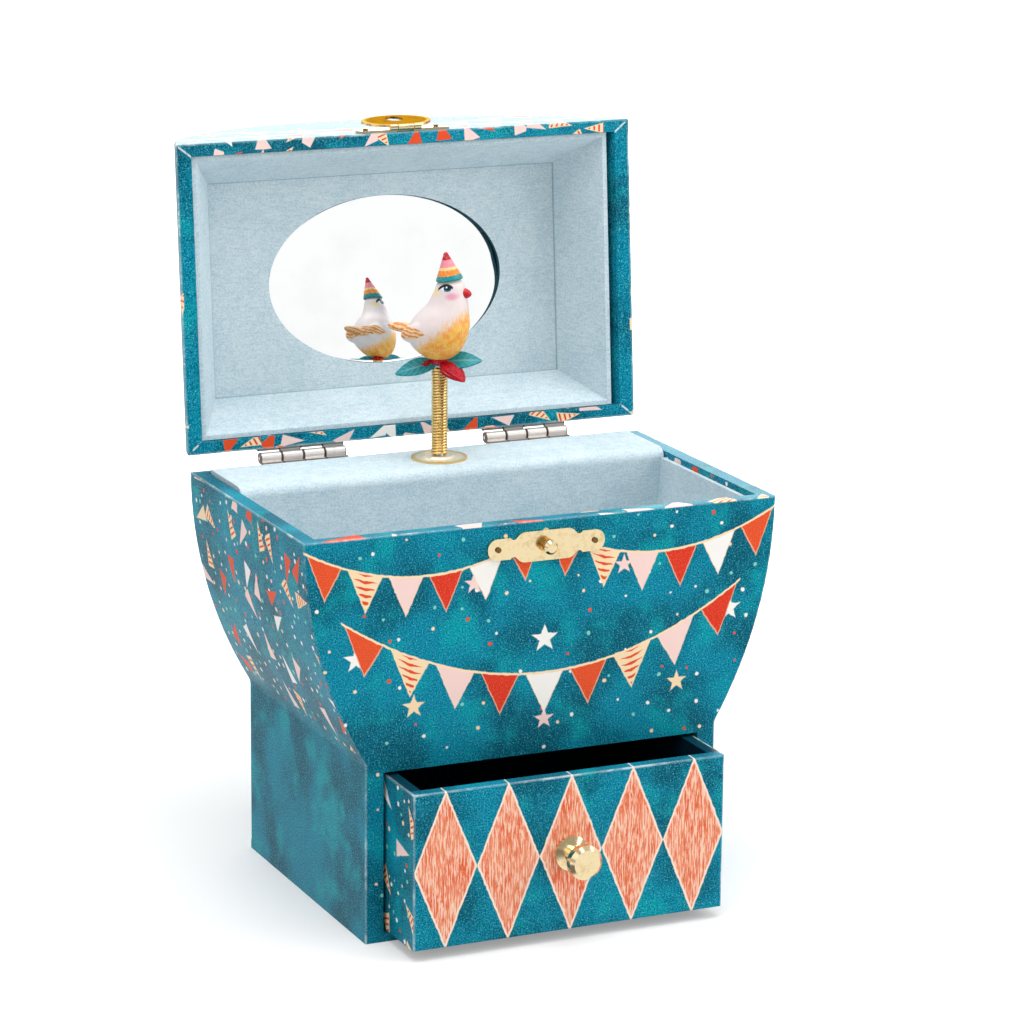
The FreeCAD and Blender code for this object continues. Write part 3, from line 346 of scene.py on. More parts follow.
def paper(colour, grain):
    """What a painted sheet of this paper sends to the shader."""
    return {"Base Color": colour, "Roughness": 0.22 + grain * 0.16, "height": grain, "depth": 0.06}


# %% [markdown]
# The print is in coral, blush, cream and white. Its motifs are festive ones that anyone may use: strings of
# pennants, small stars and confetti on the bowl, and a row of tall harlequin diamonds on the drawer. Each motif
# is a distance worked out from the place on the board, so it stays sharp at any size, and a little noise on the
# place makes its edge look drawn by hand.

# %% Inks and the hand-drawn edge
CORAL, RED, BLUSH, CREAM, WHITE = (ink(code) for code in ("E5532C", "DC3A25", "F7D6CF", "F9DDB4", "F6F3EE"))
EDGE = 0.18


def by_hand(place, amount=0.35):
    """The place, shifted a little each way, for edges that look drawn."""
    wander = place.node("TexNoise", None, {"Vector": place, "Scale": 0.5, "Detail": 2.0}, "Color")
    shift = wander.minus((0.5, 0.5, 0.5)).stretched(amount * 2, amount * 2, amount * 2)
    return place.node("VectorMath", {"operation": "ADD"}, {0: place, 1: shift})


def crayon(place, colour, tint, strength=0.35):
    """A hand-coloured patch: the tint shows through in fine grain."""
    grain = place.noise(2.4, 2.0, 0.6).soft(0.52, 0.70)
    return (grain * strength).blend(colour, tint)


# %% [markdown]
# A string of pennants hangs in a parabola and is cut into equal steps, one to a pennant. A star is one straight edge,
# repeated by folding the angle about its middle ten times.

# %% Strings of pennants, and stars
FLAG_SHARE = 0.86


def pennants(place, u, v, colour, centre, half, top, sag, count, drop):
    """A string of pennants hung between two points, painted over the colour."""
    along = (u - centre) / half
    string = top - sag * (1 - along * along)
    steps = (along + 1) * (count / 2)
    flag = steps.floor()
    off = abs(steps - flag - 0.5) * (2 * half / count)
    below = string - v
    half_flag = half / count * FLAG_SHARE
    inside = (1 - abs(along)).soft(0.0, 0.002)
    edge = half_flag * (1 - below / drop) - off
    body = edge.soft(-EDGE, EDGE) * below.soft(0.0, EDGE) * inside
    turn = (flag % 5) / 5
    fill = (turn + 0.02).banded([(0.0, CORAL), (0.2, CREAM), (0.4, BLUSH), (0.6, RED), (0.8, WHITE)])
    cream_flag = abs(flag % 5 - 1).soft(0.6, 0.4)
    ribs = (below % 2.2 - 0.9 + off * 0.25).soft(0.25, 0.05) * cream_flag
    fill = (ribs * edge.soft(0.4, 0.8)).blend(crayon(place, fill, CREAM, 0.16), CORAL)
    outline = edge.soft(0.55, 0.2) * 0.55
    colour = body.blend(colour, outline.blend(fill, CREAM))
    cord = abs(below).soft(0.5, 0.25) * inside
    return cord.blend(colour, CREAM)


def star(u, v, colour, centre, size, fill):
    """A five-pointed star, painted over the colour."""
    du, dv = u - centre[0], v - centre[1]
    reach = du.span(dv)
    turn = dv.sum("ARCTAN2", dv, du) * (5 / (2 * math.pi)) + 10.25
    fold = abs(turn % 1 - 0.5) * (2 * math.pi / 5)
    notch = 0.42 * size * math.cos(math.pi / 5), 0.42 * size * math.sin(math.pi / 5)
    length = math.hypot(notch[0] - size, notch[1])
    out, aside = reach * fold.sum("COSINE", fold), reach * fold.sine()
    edge = ((size - out) * notch[1] + aside * (notch[0] - size)) / length
    return edge.soft(-EDGE, EDGE).blend(colour, fill)


# %% [markdown]
# What is scattered comes from a Voronoi texture, which divides the sheet into cells. Each has a point, for a dot or a
# small pennant, and a random colour, whose channels draw its tint, its turn or size, and whether it is there at all.

# %% Confetti and loose pennants
MINT = ink("7FD0C0")


def cells(spot, spacing, uneven, out):
    """One output of a scatter of points about a spacing apart: Distance, Position or Color."""
    inputs = {"Vector": spot, "Scale": 1 / spacing, "Randomness": uneven}
    return spot.node("TexVoronoi", {"voronoi_dimensions": "2D"}, inputs, out)


def confetti(place, u, v, colour, spacing, size, amount):
    """Dots scattered one to a cell, in four colours."""
    spot = place.join(u, v, 3.7)
    gap = cells(spot, spacing, 0.95, "Distance") * spacing
    draw = cells(spot, spacing, 0.95, "Color").split()
    fill = draw[0].banded([(0.0, WHITE), (0.35, CREAM), (0.62, MINT), (0.82, CORAL)])
    body = (size * (0.6 + draw[1] * 0.5) - gap).soft(-EDGE, EDGE) * (draw[2] < amount)
    return body.blend(colour, fill)


def loose_pennants(place, u, v, colour, spacing, length, width, amount):
    """Small pennants that have come off their string, each turned its own way."""
    spot = place.join(u, v, 0.0)
    draw = cells(spot, spacing, 0.7, "Color").split()
    about_z = {"Vector": spot.minus(cells(spot, spacing, 0.7, "Position")), "Angle": draw[0] * 6.28}
    across, down, unused = place.node("VectorRotate", {"rotation_type": "Z_AXIS"}, about_z).split()
    taper = 0.5 - down / length
    edge = (width / 2 * taper - abs(across)).least(length / 2 - abs(down))
    body = edge.soft(-EDGE, EDGE) * (draw[1] < amount)
    fill = draw[2].banded([(0.0, CREAM), (0.34, BLUSH), (0.6, CORAL), (0.84, WHITE)])
    rib = (down % 1.8 - 0.5).soft(0.3, 0.1) * (draw[2] < 0.34) * edge.soft(0.2, 0.5)
    return body.blend(colour, rib.blend(fill, CORAL))


def wrapped_edge(place, x, y, colour, spacing):
    """Scraps of the print that come over a fold onto a narrow edge."""
    return loose_pennants(place, x, y * 1.4, colour, spacing, spacing * 0.93, spacing * 0.65, 0.9)


# %% [markdown]
# The drawer's diamonds are filled with close strokes of coral crayon, redder in patches.

# %% Hatched diamonds
HATCH_PITCH = 0.95


def coral_hatching(place, along):
    """Coral crayon laid in close upright strokes over cream."""
    strokes = place.stretched(1.0, 1.0, 0.12).noise(2.3, 2.0, 0.6)
    wander = place.stretched(0.3, 0.3, 0.07).noise(1.0, 2.0) * 2.4
    waves = ((along + wander) * (2 * math.pi / HATCH_PITCH)).sine() * 0.06
    patches = place.noise(0.085, 2.0).soft(0.42, 0.62)
    colour = (patches * 0.75).blend(ink("EE8E6A"), ink("E5602F"))
    colour = ((strokes + waves).soft(0.46, 0.62) * 0.8).blend(colour, ink("FADCC4"))
    colour = (strokes.soft(0.42, 0.34) * 0.5).blend(colour, ink("B84A28"))
    return crayon(place, colour, ink("F6B9A4"), 0.35)


def harlequin(place, u, v, colour, pitch, height, middle):
    """A row of tall diamonds, coral hatched, with a blush line round each."""
    columns = u / pitch + 0.5
    off = abs(columns - columns.floor() - 0.5) * pitch
    edge = (1 - abs(v - middle) / (height / 2)) * (pitch / 2) - off
    body = edge.soft(-EDGE, EDGE)
    rim = edge.soft(0.9, 0.5)
    return body.blend(colour, rim.blend(coral_hatching(place, u), ink("FBE3D0")))


# %% [markdown]
# Each board has its own sheet of paper. The shader tells the faces of a board apart by where they are: the front
# sheet is what lies on the front plane, the turned-over edge is what lies at the rim. The distance to a fold is
# the sum of the distances to the two planes that meet there, which is nothing only on the fold itself.

# %% Paper on the case
RIM_Z, HALF_DEPTH, KINK_Z = 130.0, 50.0, 58.0
BASE_HALF, RIM_HALF, BOW_RADIUS = 60.0, 80.0, 139.6
CASE_BOARD, PRINT_FOOT = 4.0, KINK_Z + 3
STARS = [((-63, 92), 4.2, WHITE), ((64, 95), 4.4, WHITE), ((0, 92), 4.6, WHITE), ((-24, 112), 3.4, BLUSH),
         ((27, 113), 3.3, BLUSH), ((-44, 75), 3.8, CREAM), ((46, 73), 3.6, CREAM), ((0, 66), 3.4, BLUSH)]


def case_faces(x, y, z):
    """Distances to the bowed side, the front or back, and the rim."""
    above = (RIM_Z - z).least(RIM_Z - KINK_Z)
    outline = RIM_HALF - BOW_RADIUS + (BOW_RADIUS ** 2 - above * above).root()
    return abs(outline - abs(x)), abs(HALF_DEPTH - abs(y)), abs(RIM_Z - z)


def front_print(place, colour):
    """Stars and confetti, with one long string of pennants below two short ones."""
    u, unused, v = by_hand(place).split()
    colour = confetti(place, u, v, colour, 8.5, 0.62, 0.62)
    for centre, size, fill in STARS:
        colour = star(u, v, colour, centre, size, fill)
    colour = pennants(place, u, v, colour, 0.0, 68.0, 104.0, 23.0, 9, 13.0)
    for centre in (-40.0, 40.0):
        colour = pennants(place, u, v, colour, centre, 40.0, 127.0, 11.0, 6, 12.5)
    return colour


def side_print(place, colour):
    """Loose pennants and confetti on the bowl; the straight base below it is left plain."""
    unused, u, v = by_hand(place, 0.2).split()
    printed = confetti(place, u, v, colour, 5.4, 0.75, 0.8)
    printed = loose_pennants(place, u, v, printed, 13.0, 9.5, 5.4, 0.75)
    return (v - PRINT_FOOT).soft(-0.2, 0.2).blend(colour, printed)


def case_paper(place):
    x, y, z = place.split()
    colour, grain = teal_ground(place)
    front = (y + HALF_DEPTH - 0.4).soft(0.1, 0.0)
    back = (y - HALF_DEPTH + 0.4).soft(0.0, 0.1)
    below_rim = (RIM_Z - 0.5 - z).soft(0.0, 0.1)
    outer = (abs(x) > BASE_HALF - CASE_BOARD - 0.4) * (1 - front) * (1 - back) * below_rim
    behind = confetti(place, x, z, colour, 8.5, 0.7, 0.7)
    colour = outer.blend(colour, side_print(place, colour))
    colour = (back * (z - PRINT_FOOT).soft(-0.2, 0.2)).blend(colour, behind)
    edge_strip = (y + HALF_DEPTH - CASE_BOARD - 0.1).soft(0.1, 0.0) * (z - RIM_Z + 0.5).soft(0.0, 0.1)
    colour = edge_strip.blend(colour, wrapped_edge(place, x, y, colour, 15.0))
    colour = front.blend(colour, front_print(place, colour))
    return paper(worn_folds(place, colour, *case_faces(x, y, z)), grain)


SATIN = 0.04
dress(finish("crayon_paper_case", case_paper, SATIN),
      "front_panel", "side_panel_left", "side_panel_right", "back_panel", "bottom_board")

# %% [markdown]
# The lid is drawn open, so its boards lie turned about the hinge. To lay a print out on them the shader first
# turns the place back to where it would be with the lid shut, and then works as it did on the case. The front of
# the lid, where hands take hold of it, is glossier: seen almost edge on, it is pale with glare. On the rim the
# paper is cut and mitred at the corners, and a little of its core shows along the cut.

# %% Paper on the lid
HINGE_Y, HINGE_Z, LID_TURN = 53.2, 131.5, math.radians(94.6)
LID_FLOOR, LID_RISE, LID_HALF = 130.3, 63.0, 80.0
ARCH_RADIUS = (LID_HALF ** 2 + LID_RISE ** 2) / (2 * LID_RISE)
ARCH_Z = LID_FLOOR + LID_RISE - ARCH_RADIUS
LID_BOARD, LID_SIDE, MITRE_SLOPE = 4.0, 5.0, 0.8


def lid_shut(place):
    """The place turned back about the hinge to where it is with the lid shut."""
    x, y, z = place.split()
    back, up = y - HINGE_Y, z - HINGE_Z
    cosine, sine = math.cos(LID_TURN), math.sin(LID_TURN)
    return x, back * cosine - up * sine + HINGE_Y, back * sine + up * cosine + HINGE_Z


def lid_paper(place):
    x, y, z = lid_shut(place)
    colour, grain = teal_ground(place)
    u, w, v = by_hand(place.join(x, y, z), 0.2).split()
    from_axis = x.span(z - ARCH_Z)
    end = (abs(y) - HALF_DEPTH + LID_BOARD + 0.2).soft(0.0, 0.1)
    upper = (ARCH_RADIUS - 0.8 - from_axis).soft(0.1, 0.0)
    top = confetti(place, u, w, colour, 6.2, 0.75, 0.7)
    top = loose_pennants(place, u, w, top, 17.0, 10.0, 5.6, 0.6)
    ends = confetti(place, u, v, colour, 7.5, 0.7, 0.6)
    ends = pennants(place, u, v, ends, 0.0, 64.0, LID_FLOOR + 43.7, 19.0, 9, 13.0)
    ends = pennants(place, u, v, ends, 0.0, 76.0, LID_FLOOR + 18.0, 4.0, 13, 11.0)
    above_rim = (z - LID_FLOOR - 0.35).soft(0.0, 0.1)
    into_side = abs(x) - LID_HALF + LID_SIDE
    mitre = abs(y) - HALF_DEPTH + LID_BOARD - into_side * MITRE_SLOPE
    inner = (LID_HALF - LID_SIDE - LID_BOARD - abs(x)).soft(0.0, 0.5)
    edges = (end * inner).blend(colour, wrapped_edge(place, x, y, colour, 9.0))
    frayed = place.noise(0.6, 2.0).soft(0.35, 0.5)
    cut = abs(mitre).soft(0.55, 0.2) * into_side.soft(-0.2, 0.0) * frayed
    colour = (1 - above_rim).blend(colour, (cut * 0.8).blend(edges, WORN_PAPER))
    colour = upper.blend(colour, top)
    colour = (end * (1 - upper) * above_rim).blend(colour, ends)
    rim = abs(z - LID_FLOOR)
    reach = abs(ARCH_RADIUS - from_axis)
    return paper(worn_folds(place, colour, rim, reach, abs(HALF_DEPTH - abs(y))), grain)


HANDLED = 0.09
dress(finish("crayon_paper_lid", lid_paper, SATIN), "lid_back_panel", "lid_arch")
dress(finish("glossy_paper_lid", lid_paper, HANDLED), "lid_front_panel")

# %% [markdown]
# The drawer is covered with the same paper outside and lined with a dark blue one. The diamonds run over the top of
# its front board; the other top edges are a dark teal.

# %% Paper on the drawer
DRAWER_FRONT_Y, DRAWER_HALF, DRAWER_TOP, DRAWER_FOOT = -71.0, 52.8, 53.8, 3.6
DRAWER_BOARD, DIAMONDS = 4.0, 5
NIGHT_BLUE, DUSK_BLUE, EDGE_DARK, EDGE_LIGHT = ink("08202E"), ink("103448"), ink("072F3E"), ink("0E4656")


def drawer_paper(place):
    x, y, z = place.split()
    colour, grain = teal_ground(place)
    u, w, v = by_hand(place).split()
    front = (y - DRAWER_FRONT_Y - DRAWER_BOARD - 0.05).soft(0.05, 0.0)
    middle, height = (DRAWER_TOP + DRAWER_FOOT) / 2, DRAWER_TOP - DRAWER_FOOT + 1
    diamonds = harlequin(place, u, v, colour, 2 * DRAWER_HALF / DIAMONDS, height, middle)
    outside = (DRAWER_HALF - 0.3 - abs(x)).soft(0.05, 0.0)
    sides = confetti(place, w, v, colour, 5.4, 0.75, 0.7)
    sides = loose_pennants(place, w, v, sides, 14.0, 10.0, 5.6, 0.7)
    face = (y - DRAWER_FRONT_Y - 0.3).soft(0.05, 0.0)
    top = (z - DRAWER_TOP + 0.3).soft(0.0, 0.05)
    colour = (outside * (1 - face)).blend(colour, sides)
    colour = (face.most(top * front) * (1 - outside)).blend(colour, diamonds)
    colour = (top * (1 - front)).blend(colour, grain.soft(0.4, 0.6).blend(EDGE_DARK, EDGE_LIGHT))
    shown = face.most(top).most(outside)
    lining = place.noise(1.6, 2.0).soft(0.4, 0.7).blend(NIGHT_BLUE, DUSK_BLUE)
    side, end, rim = abs(DRAWER_HALF - abs(x)), abs(y - DRAWER_FRONT_Y), abs(DRAWER_TOP - z)
    return paper(shown.blend(lining, worn_folds(place, colour, side, end, rim)), grain)


dress(finish("crayon_paper_drawer", drawer_paper, SATIN),
      "drawer_front", "drawer_side_left", "drawer_side_right", "drawer_back", "drawer_floor", "drawer_ceiling")

# %% [markdown]
# The well, the deck over the movement and the lid tray are lined with a pale blue felt paper. Its fibres lie every
# way, so its face is mottled: small tufts catch the light and the hollows between them are a little bluer.

# %% Felted lining paper
PALE_BLUE, BLUE_SHADE, SEAM_SHADE_BLUE, CUT_TEAL = ink("DAE6EB"), ink("B0CAD5"), ink("6C94A2"), ink("0A4552")
MIRROR_BOARD_Z = LID_FLOOR + 20.0
FELT = {"shine": 0.15, "Sheen_Weight": 0.1}


def felted(place):
    tufts = place.noise(1.6, 3.0, 0.75)
    threads = place.stretched(0.35, 0.35, 1.6).noise(1.0, 2.0, 0.6)
    tone = (tufts * 0.8 + threads * 0.35 + place.noise(0.1, 2.0) * 0.2 - 0.1).soft(0.36, 0.74)
    return {"Base Color": tone.blend(BLUE_SHADE, PALE_BLUE), "Roughness": 0.84 + tufts * 0.14,
            "height": tufts + threads * 0.4, "depth": 0.16}


def oval_board(place):
    """The same lining on the mirror's board. The cut edge of the oval is left in dark teal."""
    cut = (lid_shut(place)[2] - MIRROR_BOARD_Z - 0.15).soft(0.0, 0.1)
    return glaze(felted(place), cut, CUT_TEAL)


def tray_felt(place):
    """The same lining on the lid's four slanting boards, with painted shade in the seam with the mirror's board."""
    # Painted shade: the last strip of each board before the mirror's board is darkened to a deeper blue.
    painted_seam_shade = (lid_shut(place)[2] - MIRROR_BOARD_Z + 0.8).soft(0.0, 0.5)
    return glaze(felted(place), painted_seam_shade * 0.6, SEAM_SHADE_BLUE)


dress(finish("felted_lining", felted, **FELT),
      "lining_floor", "lining_left", "lining_right", "lining_front", "movement_deck")
dress(finish("felted_tray", tray_felt, **FELT),
      "lid_lining_front", "lid_lining_back", "lid_lining_left", "lid_lining_right")
dress(finish("felted_mirror_board", oval_board, **FELT), "mirror_board")

# %% [markdown]
# The catch, the hasp, the knob and the flange round the spring are polished brass plate. The hinges and the key are
# nickel plated, and the nails are bronze. A polished metal is all reflection, so the detail is in how the polish
# varies: fine lines, a few dull spots, and a faint change of tint.

# %% Brass, nickel and steel
FLAP_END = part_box("hasp_flap")[1][1] / MM
FLAP_HALF_WIDTH, FLAP_HALF_LENGTH = 12.0, 6.77
HINGE_INNER_END, KNUCKLE, SPINDLE_Y = 25.0, 7.5, 33.0
METAL = {"Metallic": 1.0}


def polished(light, dark, least, most):
    """Paint for a metal of two tints, with its least and most roughness."""
    def paint(place):
        dull = place.noise(0.4, 3.0, 0.6).soft(0.45, 0.75)
        lines = place.stretched(1.0, 0.15, 1.0).noise(6.0, 2.0)
        rough = least + (most - least) * dull + lines * 0.05
        return {"Base Color": (dull * 0.6).blend(light, dark), "Roughness": rough, "height": lines, "depth": 0.006}
    return paint


def painted_reflection_gold(place):
    """The hasp's flap: a darker gold in the middle, a painted reflection of the dark it faces, and bright brass round
    its edge.
    """
    x, y, unused = place.split()
    across, along = x / FLAP_HALF_WIDTH, (y - FLAP_END + FLAP_HALF_LENGTH) / FLAP_HALF_LENGTH
    rim = across.span(along).soft(0.84, 0.93)
    # Painted reflection: the flap's darker gold stands in for the dark surroundings it mirrors; its rim keeps the
    # bright brass.
    return glaze(polished(ink("BE9C58"), ink("A07E42"), 0.22, 0.36)(place), rim, ink("F7E3B4"))


def hinge_nickel(place):
    """Pale knuckles with dark joints, and leaves darkened by painted shade away from the knuckles."""
    x, y, z = place.split()
    half = KNUCKLE / 2
    joint = abs((abs(x) - HINGE_INNER_END) % KNUCKLE - half).soft(half - 0.55, half - 0.3)
    # Painted shade: beyond the barrel the leaves are darkened, for the shade in the gap under the lid.
    leaf = (y - HINGE_Y).span(z - HINGE_Z).soft(2.3, 2.6) * 0.7
    return glaze(polished(ink("FAF2EC"), ink("E6D8CE"), 0.26, 0.40)(place), joint.most(leaf), ink("6E564C"))


def flange_painted_reflection(place):
    """The spring's flange, with a painted reflection: pale in the middle, where it mirrors the bright lining, and a
    deeper gold towards its rim.
    """
    x, y, unused = place.split()
    # Painted reflection: the pale middle and the deeper gold rim stand in for what the flange mirrors.
    rim = x.span(y - SPINDLE_Y).soft(7.2, 8.8) * 0.8
    return glaze(polished(ink("FBF0D6"), ink("EFDDB4"), 0.30, 0.42)(place), rim, ink("E0B560"))


brass = finish("polished_brass", polished(ink("F6E1B4"), ink("DFC084"), 0.10, 0.24), **METAL)
nickel = finish("nickel_plate", polished(ink("DAD5D0"), ink("B9B2AD"), 0.14, 0.30), **METAL)
steel = finish("movement_steel", polished(ink("B9BBBE"), ink("8E9196"), 0.28, 0.45), **METAL)
bronze = finish("nail_bronze", polished(ink("8C6B3E"), ink("5C4426"), 0.30, 0.50), **METAL)
dress(brass, "catch_plate", "catch_stud", "hasp_plate", "hasp_pin",
      "drawer_knob", "spring_barrel", "music_cylinder", "governor_wheel")
dress(finish("flange_brass", flange_painted_reflection, Metallic=0.7), "spindle_flange")
dress(bronze, "case_nails", "lid_nails")
dress(finish("painted_reflection_gold", painted_reflection_gold, Metallic=1.0, Specular_Tint=ink("B8985C")), "hasp_flap")
dress(finish("hinge_nickel", hinge_nickel, Metallic=0.35),
      "hinge_case_leaf_left", "hinge_case_leaf_right", "hinge_lid_leaf_left", "hinge_lid_leaf_right")
dress(nickel, "hinge_pins", "winding_key")
dress(steel, "movement_bedplate", "comb", "comb_heel", "cylinder_bracket", "governor_frame", "spindle_bracket",
      "movement_screws", "winding_arbor", "mainspring", "drive_spindle", "governor_fly", "drawer_knob_screw")

# %% [markdown]
# New pieces are drawn in millimetres with bmesh and closed into an object at the origin. Many of them are turned
# shapes: a profile of a few points spun once round the Z axis and then carried to its place.

# %% Helpers for new pieces
def new_piece(name, bm, material):
    """Closes a bmesh drawn in millimetres into an object at the origin, in metres."""
    bmesh.ops.scale(bm, vec=(MM, MM, MM), verts=bm.verts)
    piece = mesh_object(name, bm, material)
    piece.data.shade_smooth()
    return piece


def turned(profile, segments=40):
    """A profile of (radius, height) points spun round the Z axis."""
    bm = bmesh.new()
    points = [bm.verts.new((radius, 0, height)) for radius, height in profile]
    edges = [bm.edges.new(pair) for pair in zip(points, points[1:])]
    bmesh.ops.spin(bm, geom=points + edges, cent=(0, 0, 0), axis=(0, 0, 1), angle=2 * math.pi, steps=segments,
                   use_merge=True)
    bmesh.ops.remove_doubles(bm, verts=bm.verts, dist=0.0005)
    bmesh.ops.recalc_face_normals(bm, faces=bm.faces)
    return bm


def along(direction):
    """The turn that lays the Z axis along a direction."""
    return Vector(direction).to_track_quat("Z", "Y").to_matrix().to_4x4()


# %% [markdown]
# The mirror is a thin silvered sheet sprung into the oval opening. Such a sheet is never quite flat: this one is
# bowed towards the viewer and a little twisted, which is why the bird looks smaller in it than it is. A disc is
# drawn out to the oval of the opening, and each point is then set back by how far it lies from the top of the bow.
# A last ring outside the opening lies behind the board. The foil under the sheet lies a little aslant, which a
# bump with an even slope adds.

# %% Mirror
OPENING_HALF_WIDTH, OPENING_HALF_HEIGHT, TRAY_SHIFT = 41.4, 27.95, -0.9
BOW, BOW_TOP, BOW_REACH, BOW_STANDS_OUT, TWIST = 360.0, (16.0, -21.6), 25.0, 0.2, 0.002
MIRROR_SHEET, BOARD_THICKNESS, OVERLAP = 0.6, 2.0, 3.0
MIRROR_RINGS, MIRROR_SEGMENTS, FOIL_SLOPE = 32, 96, (0.080, 0.174)


def silvered(place):
    """Silvering with a faint haze."""
    x, y, unused = lid_shut(place)
    haze = place.noise(0.06, 3.0).soft(0.45, 0.75)
    return {"Base Color": haze.blend(ink("FDFEFE"), ink("F8FAFA")), "Roughness": haze * 0.003,
            "height": x * FOIL_SLOPE[0] + y * FOIL_SLOPE[1], "depth": 1.0}


bm = turned([(ring / MIRROR_RINGS, 0) for ring in range(MIRROR_RINGS + 2)], MIRROR_SEGMENTS)
for point in bm.verts:
    share = point.co.xy.length
    outside = OVERLAP if share > 1.001 else 0.0
    aim = point.co.xy.normalized() if share else Vector((0, 0))
    inside = min(share, 1.0)
    u = aim.x * (inside * OPENING_HALF_WIDTH + outside)
    v = aim.y * (inside * OPENING_HALF_HEIGHT + outside)
    aside, above = u - BOW_TOP[0], min(v - BOW_TOP[1], BOW_REACH)
    set_back = (aside ** 2 + above ** 2) / (2 * BOW) + TWIST * aside * above - BOW_STANDS_OUT
    if outside:
        set_back = max(set_back, BOARD_THICKNESS + 0.1)
    point.co = (u + TRAY_SHIFT, -v, set_back)
bmesh.ops.recalc_face_normals(bm, faces=bm.faces)
shut = Matrix.Translation((0, 0, MIRROR_BOARD_Z))
hinge = Matrix.Translation((0, HINGE_Y, HINGE_Z))
swing = hinge @ Matrix.Rotation(-LID_TURN, 4, "X") @ hinge.inverted()
bmesh.ops.transform(bm, matrix=swing @ shut, verts=bm.verts)
mirror = new_piece("bowed_mirror", bm, finish("silvered_glass", silvered, **METAL))
sheet = mirror.modifiers.new("sheet", "SOLIDIFY")
sheet.thickness = MIRROR_SHEET * MM
sheet.offset = 1.0
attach(mirror, "lid")
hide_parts("mirror_glass")
print("mirror faces:", len(mirror.data.polygons))

# %% [markdown]
# The figure's stem is a close-wound brass spring. A screw is a spin that also climbs: a small ring, the section of
# the wire, is spun round the spindle and rises by little more than the wire's width at each turn.

# %% Coil spring
SPINDLE = Vector((0, SPINDLE_Y, 0))
SPRING_FOOT, SPRING_TOP, COIL_RADIUS, WIRE_RADIUS = 132.7, 162.1, 2.26, 0.43
COIL_STEPS, COIL_PITCH = 28, WIRE_RADIUS * 2.27
coil_turns = round((SPRING_TOP - SPRING_FOOT) / COIL_PITCH)

bm = bmesh.new()
ring_place = Matrix.Translation(SPINDLE + Vector((COIL_RADIUS, 0, SPRING_FOOT)))
ring_place = ring_place @ Matrix.Rotation(math.pi / 2, 4, "X")
bmesh.ops.create_circle(bm, segments=10, radius=WIRE_RADIUS, matrix=ring_place)
climb = (SPRING_TOP - SPRING_FOOT - 2 * WIRE_RADIUS) / (coil_turns * COIL_STEPS)
bmesh.ops.spin(bm, geom=bm.verts[:] + bm.edges[:], cent=SPINDLE, axis=(0, 0, 1), dvec=(0, 0, climb),
               angle=2 * math.pi * coil_turns, steps=coil_turns * COIL_STEPS, use_merge=False)
ends = [edge for edge in bm.edges if edge.is_boundary]
bmesh.ops.holes_fill(bm, edges=ends, sides=0)
bmesh.ops.recalc_face_normals(bm, faces=bm.faces)
spring_brass = finish("spring_brass", polished(ink("F3D08A"), ink("CFA052"), 0.14, 0.26), **METAL)
spring = new_piece("coil_spring", bm, spring_brass)
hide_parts("figure_spring")
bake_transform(spring)
print("spring turns:", coil_turns, "faces:", len(spring.data.polygons))

# %% [markdown]
# The bird is a small resin casting, pear shaped, with its chest forward and its back falling straight to a stub
# of a tail. A ball is reshaped ring by ring: at each height a table says where the middle of the ring lies and
# how far it reaches. Flat balls for the wings and the tail are pressed into it.

# %% Bird: its masses
BIRD_TURN = math.radians(-40.0)
BIRD_FLOOR, BIRD_HEIGHT, BIRD_WIDTH_SHARE = 164.5, 27.5, 0.92
BIRD_RINGS = [(0.0, -0.3, 4.0), (2.2, -0.5, 7.0), (5.5, -0.85, 9.3), (10.2, -0.25, 9.95), (14.7, 1.15, 8.5),
              (18.2, 2.75, 6.6), (21.7, 3.3, 5.35), (25.0, 3.55, 4.2), (27.5, 3.6, 1.4)]
bird_place = Matrix.Translation(SPINDLE + Vector((0, 0, BIRD_FLOOR))) @ Matrix.Rotation(BIRD_TURN, 4, "Z")


def bird_ring(height):
    """Middle and reach of the bird's ring at a height, on a smooth curve through the table."""
    step = max(i for i in range(len(BIRD_RINGS) - 1) if BIRD_RINGS[i][0] <= height)
    rows = [BIRD_RINGS[min(max(i, 0), len(BIRD_RINGS) - 1)] for i in (step - 1, step, step + 1, step + 2)]
    span = rows[2][0] - rows[1][0]
    t = (height - rows[1][0]) / span
    found = []
    for item in (1, 2):
        slopes = [(rows[i + 1][item] - rows[i - 1][item]) / (rows[i + 1][0] - rows[i - 1][0]) * span
                  for i in (1, 2)]
        a, b = rows[1][item], rows[2][item]
        found.append((1 + 2 * t) * (1 - t) ** 2 * a + t * (1 - t) ** 2 * slopes[0]
                     + t * t * (3 - 2 * t) * b + t * t * (t - 1) * slopes[1])
    return found


def ball(bm, centre, radii, tilt=0.0):
    """Adds a ball with three radii, tipped by some degrees."""
    place = Matrix.Translation(centre) @ Matrix.Rotation(math.radians(tilt), 4, "Y") @ Matrix.Diagonal((*radii, 1))
    bmesh.ops.create_uvsphere(bm, u_segments=32, v_segments=20, radius=1.0, matrix=place)


bm = bmesh.new()
bmesh.ops.create_uvsphere(bm, u_segments=64, v_segments=48, radius=1.0)
for point in bm.verts:
    height = min(max((point.co.z + 1) / 2, 0.0), 1.0) * BIRD_HEIGHT
    middle, reach = bird_ring(height)
    heading = math.atan2(point.co.y, point.co.x)
    if point.co.xy.length < 1e-4:
        reach = 0.0
    point.co = (middle + reach * math.cos(heading), reach * BIRD_WIDTH_SHARE * math.sin(heading), height)
ball(bm, (-11.8, 0, 9.3), (6.0, 2.6, 1.6), 4)
for hand in (-1, 1):
    ball(bm, (-5.4, 6.5 * hand, 9.3), (6.0, 2.0, 3.3), -16)
bmesh.ops.transform(bm, matrix=bird_place, verts=bm.verts)
print("bird masses:", len(bm.verts), "points")

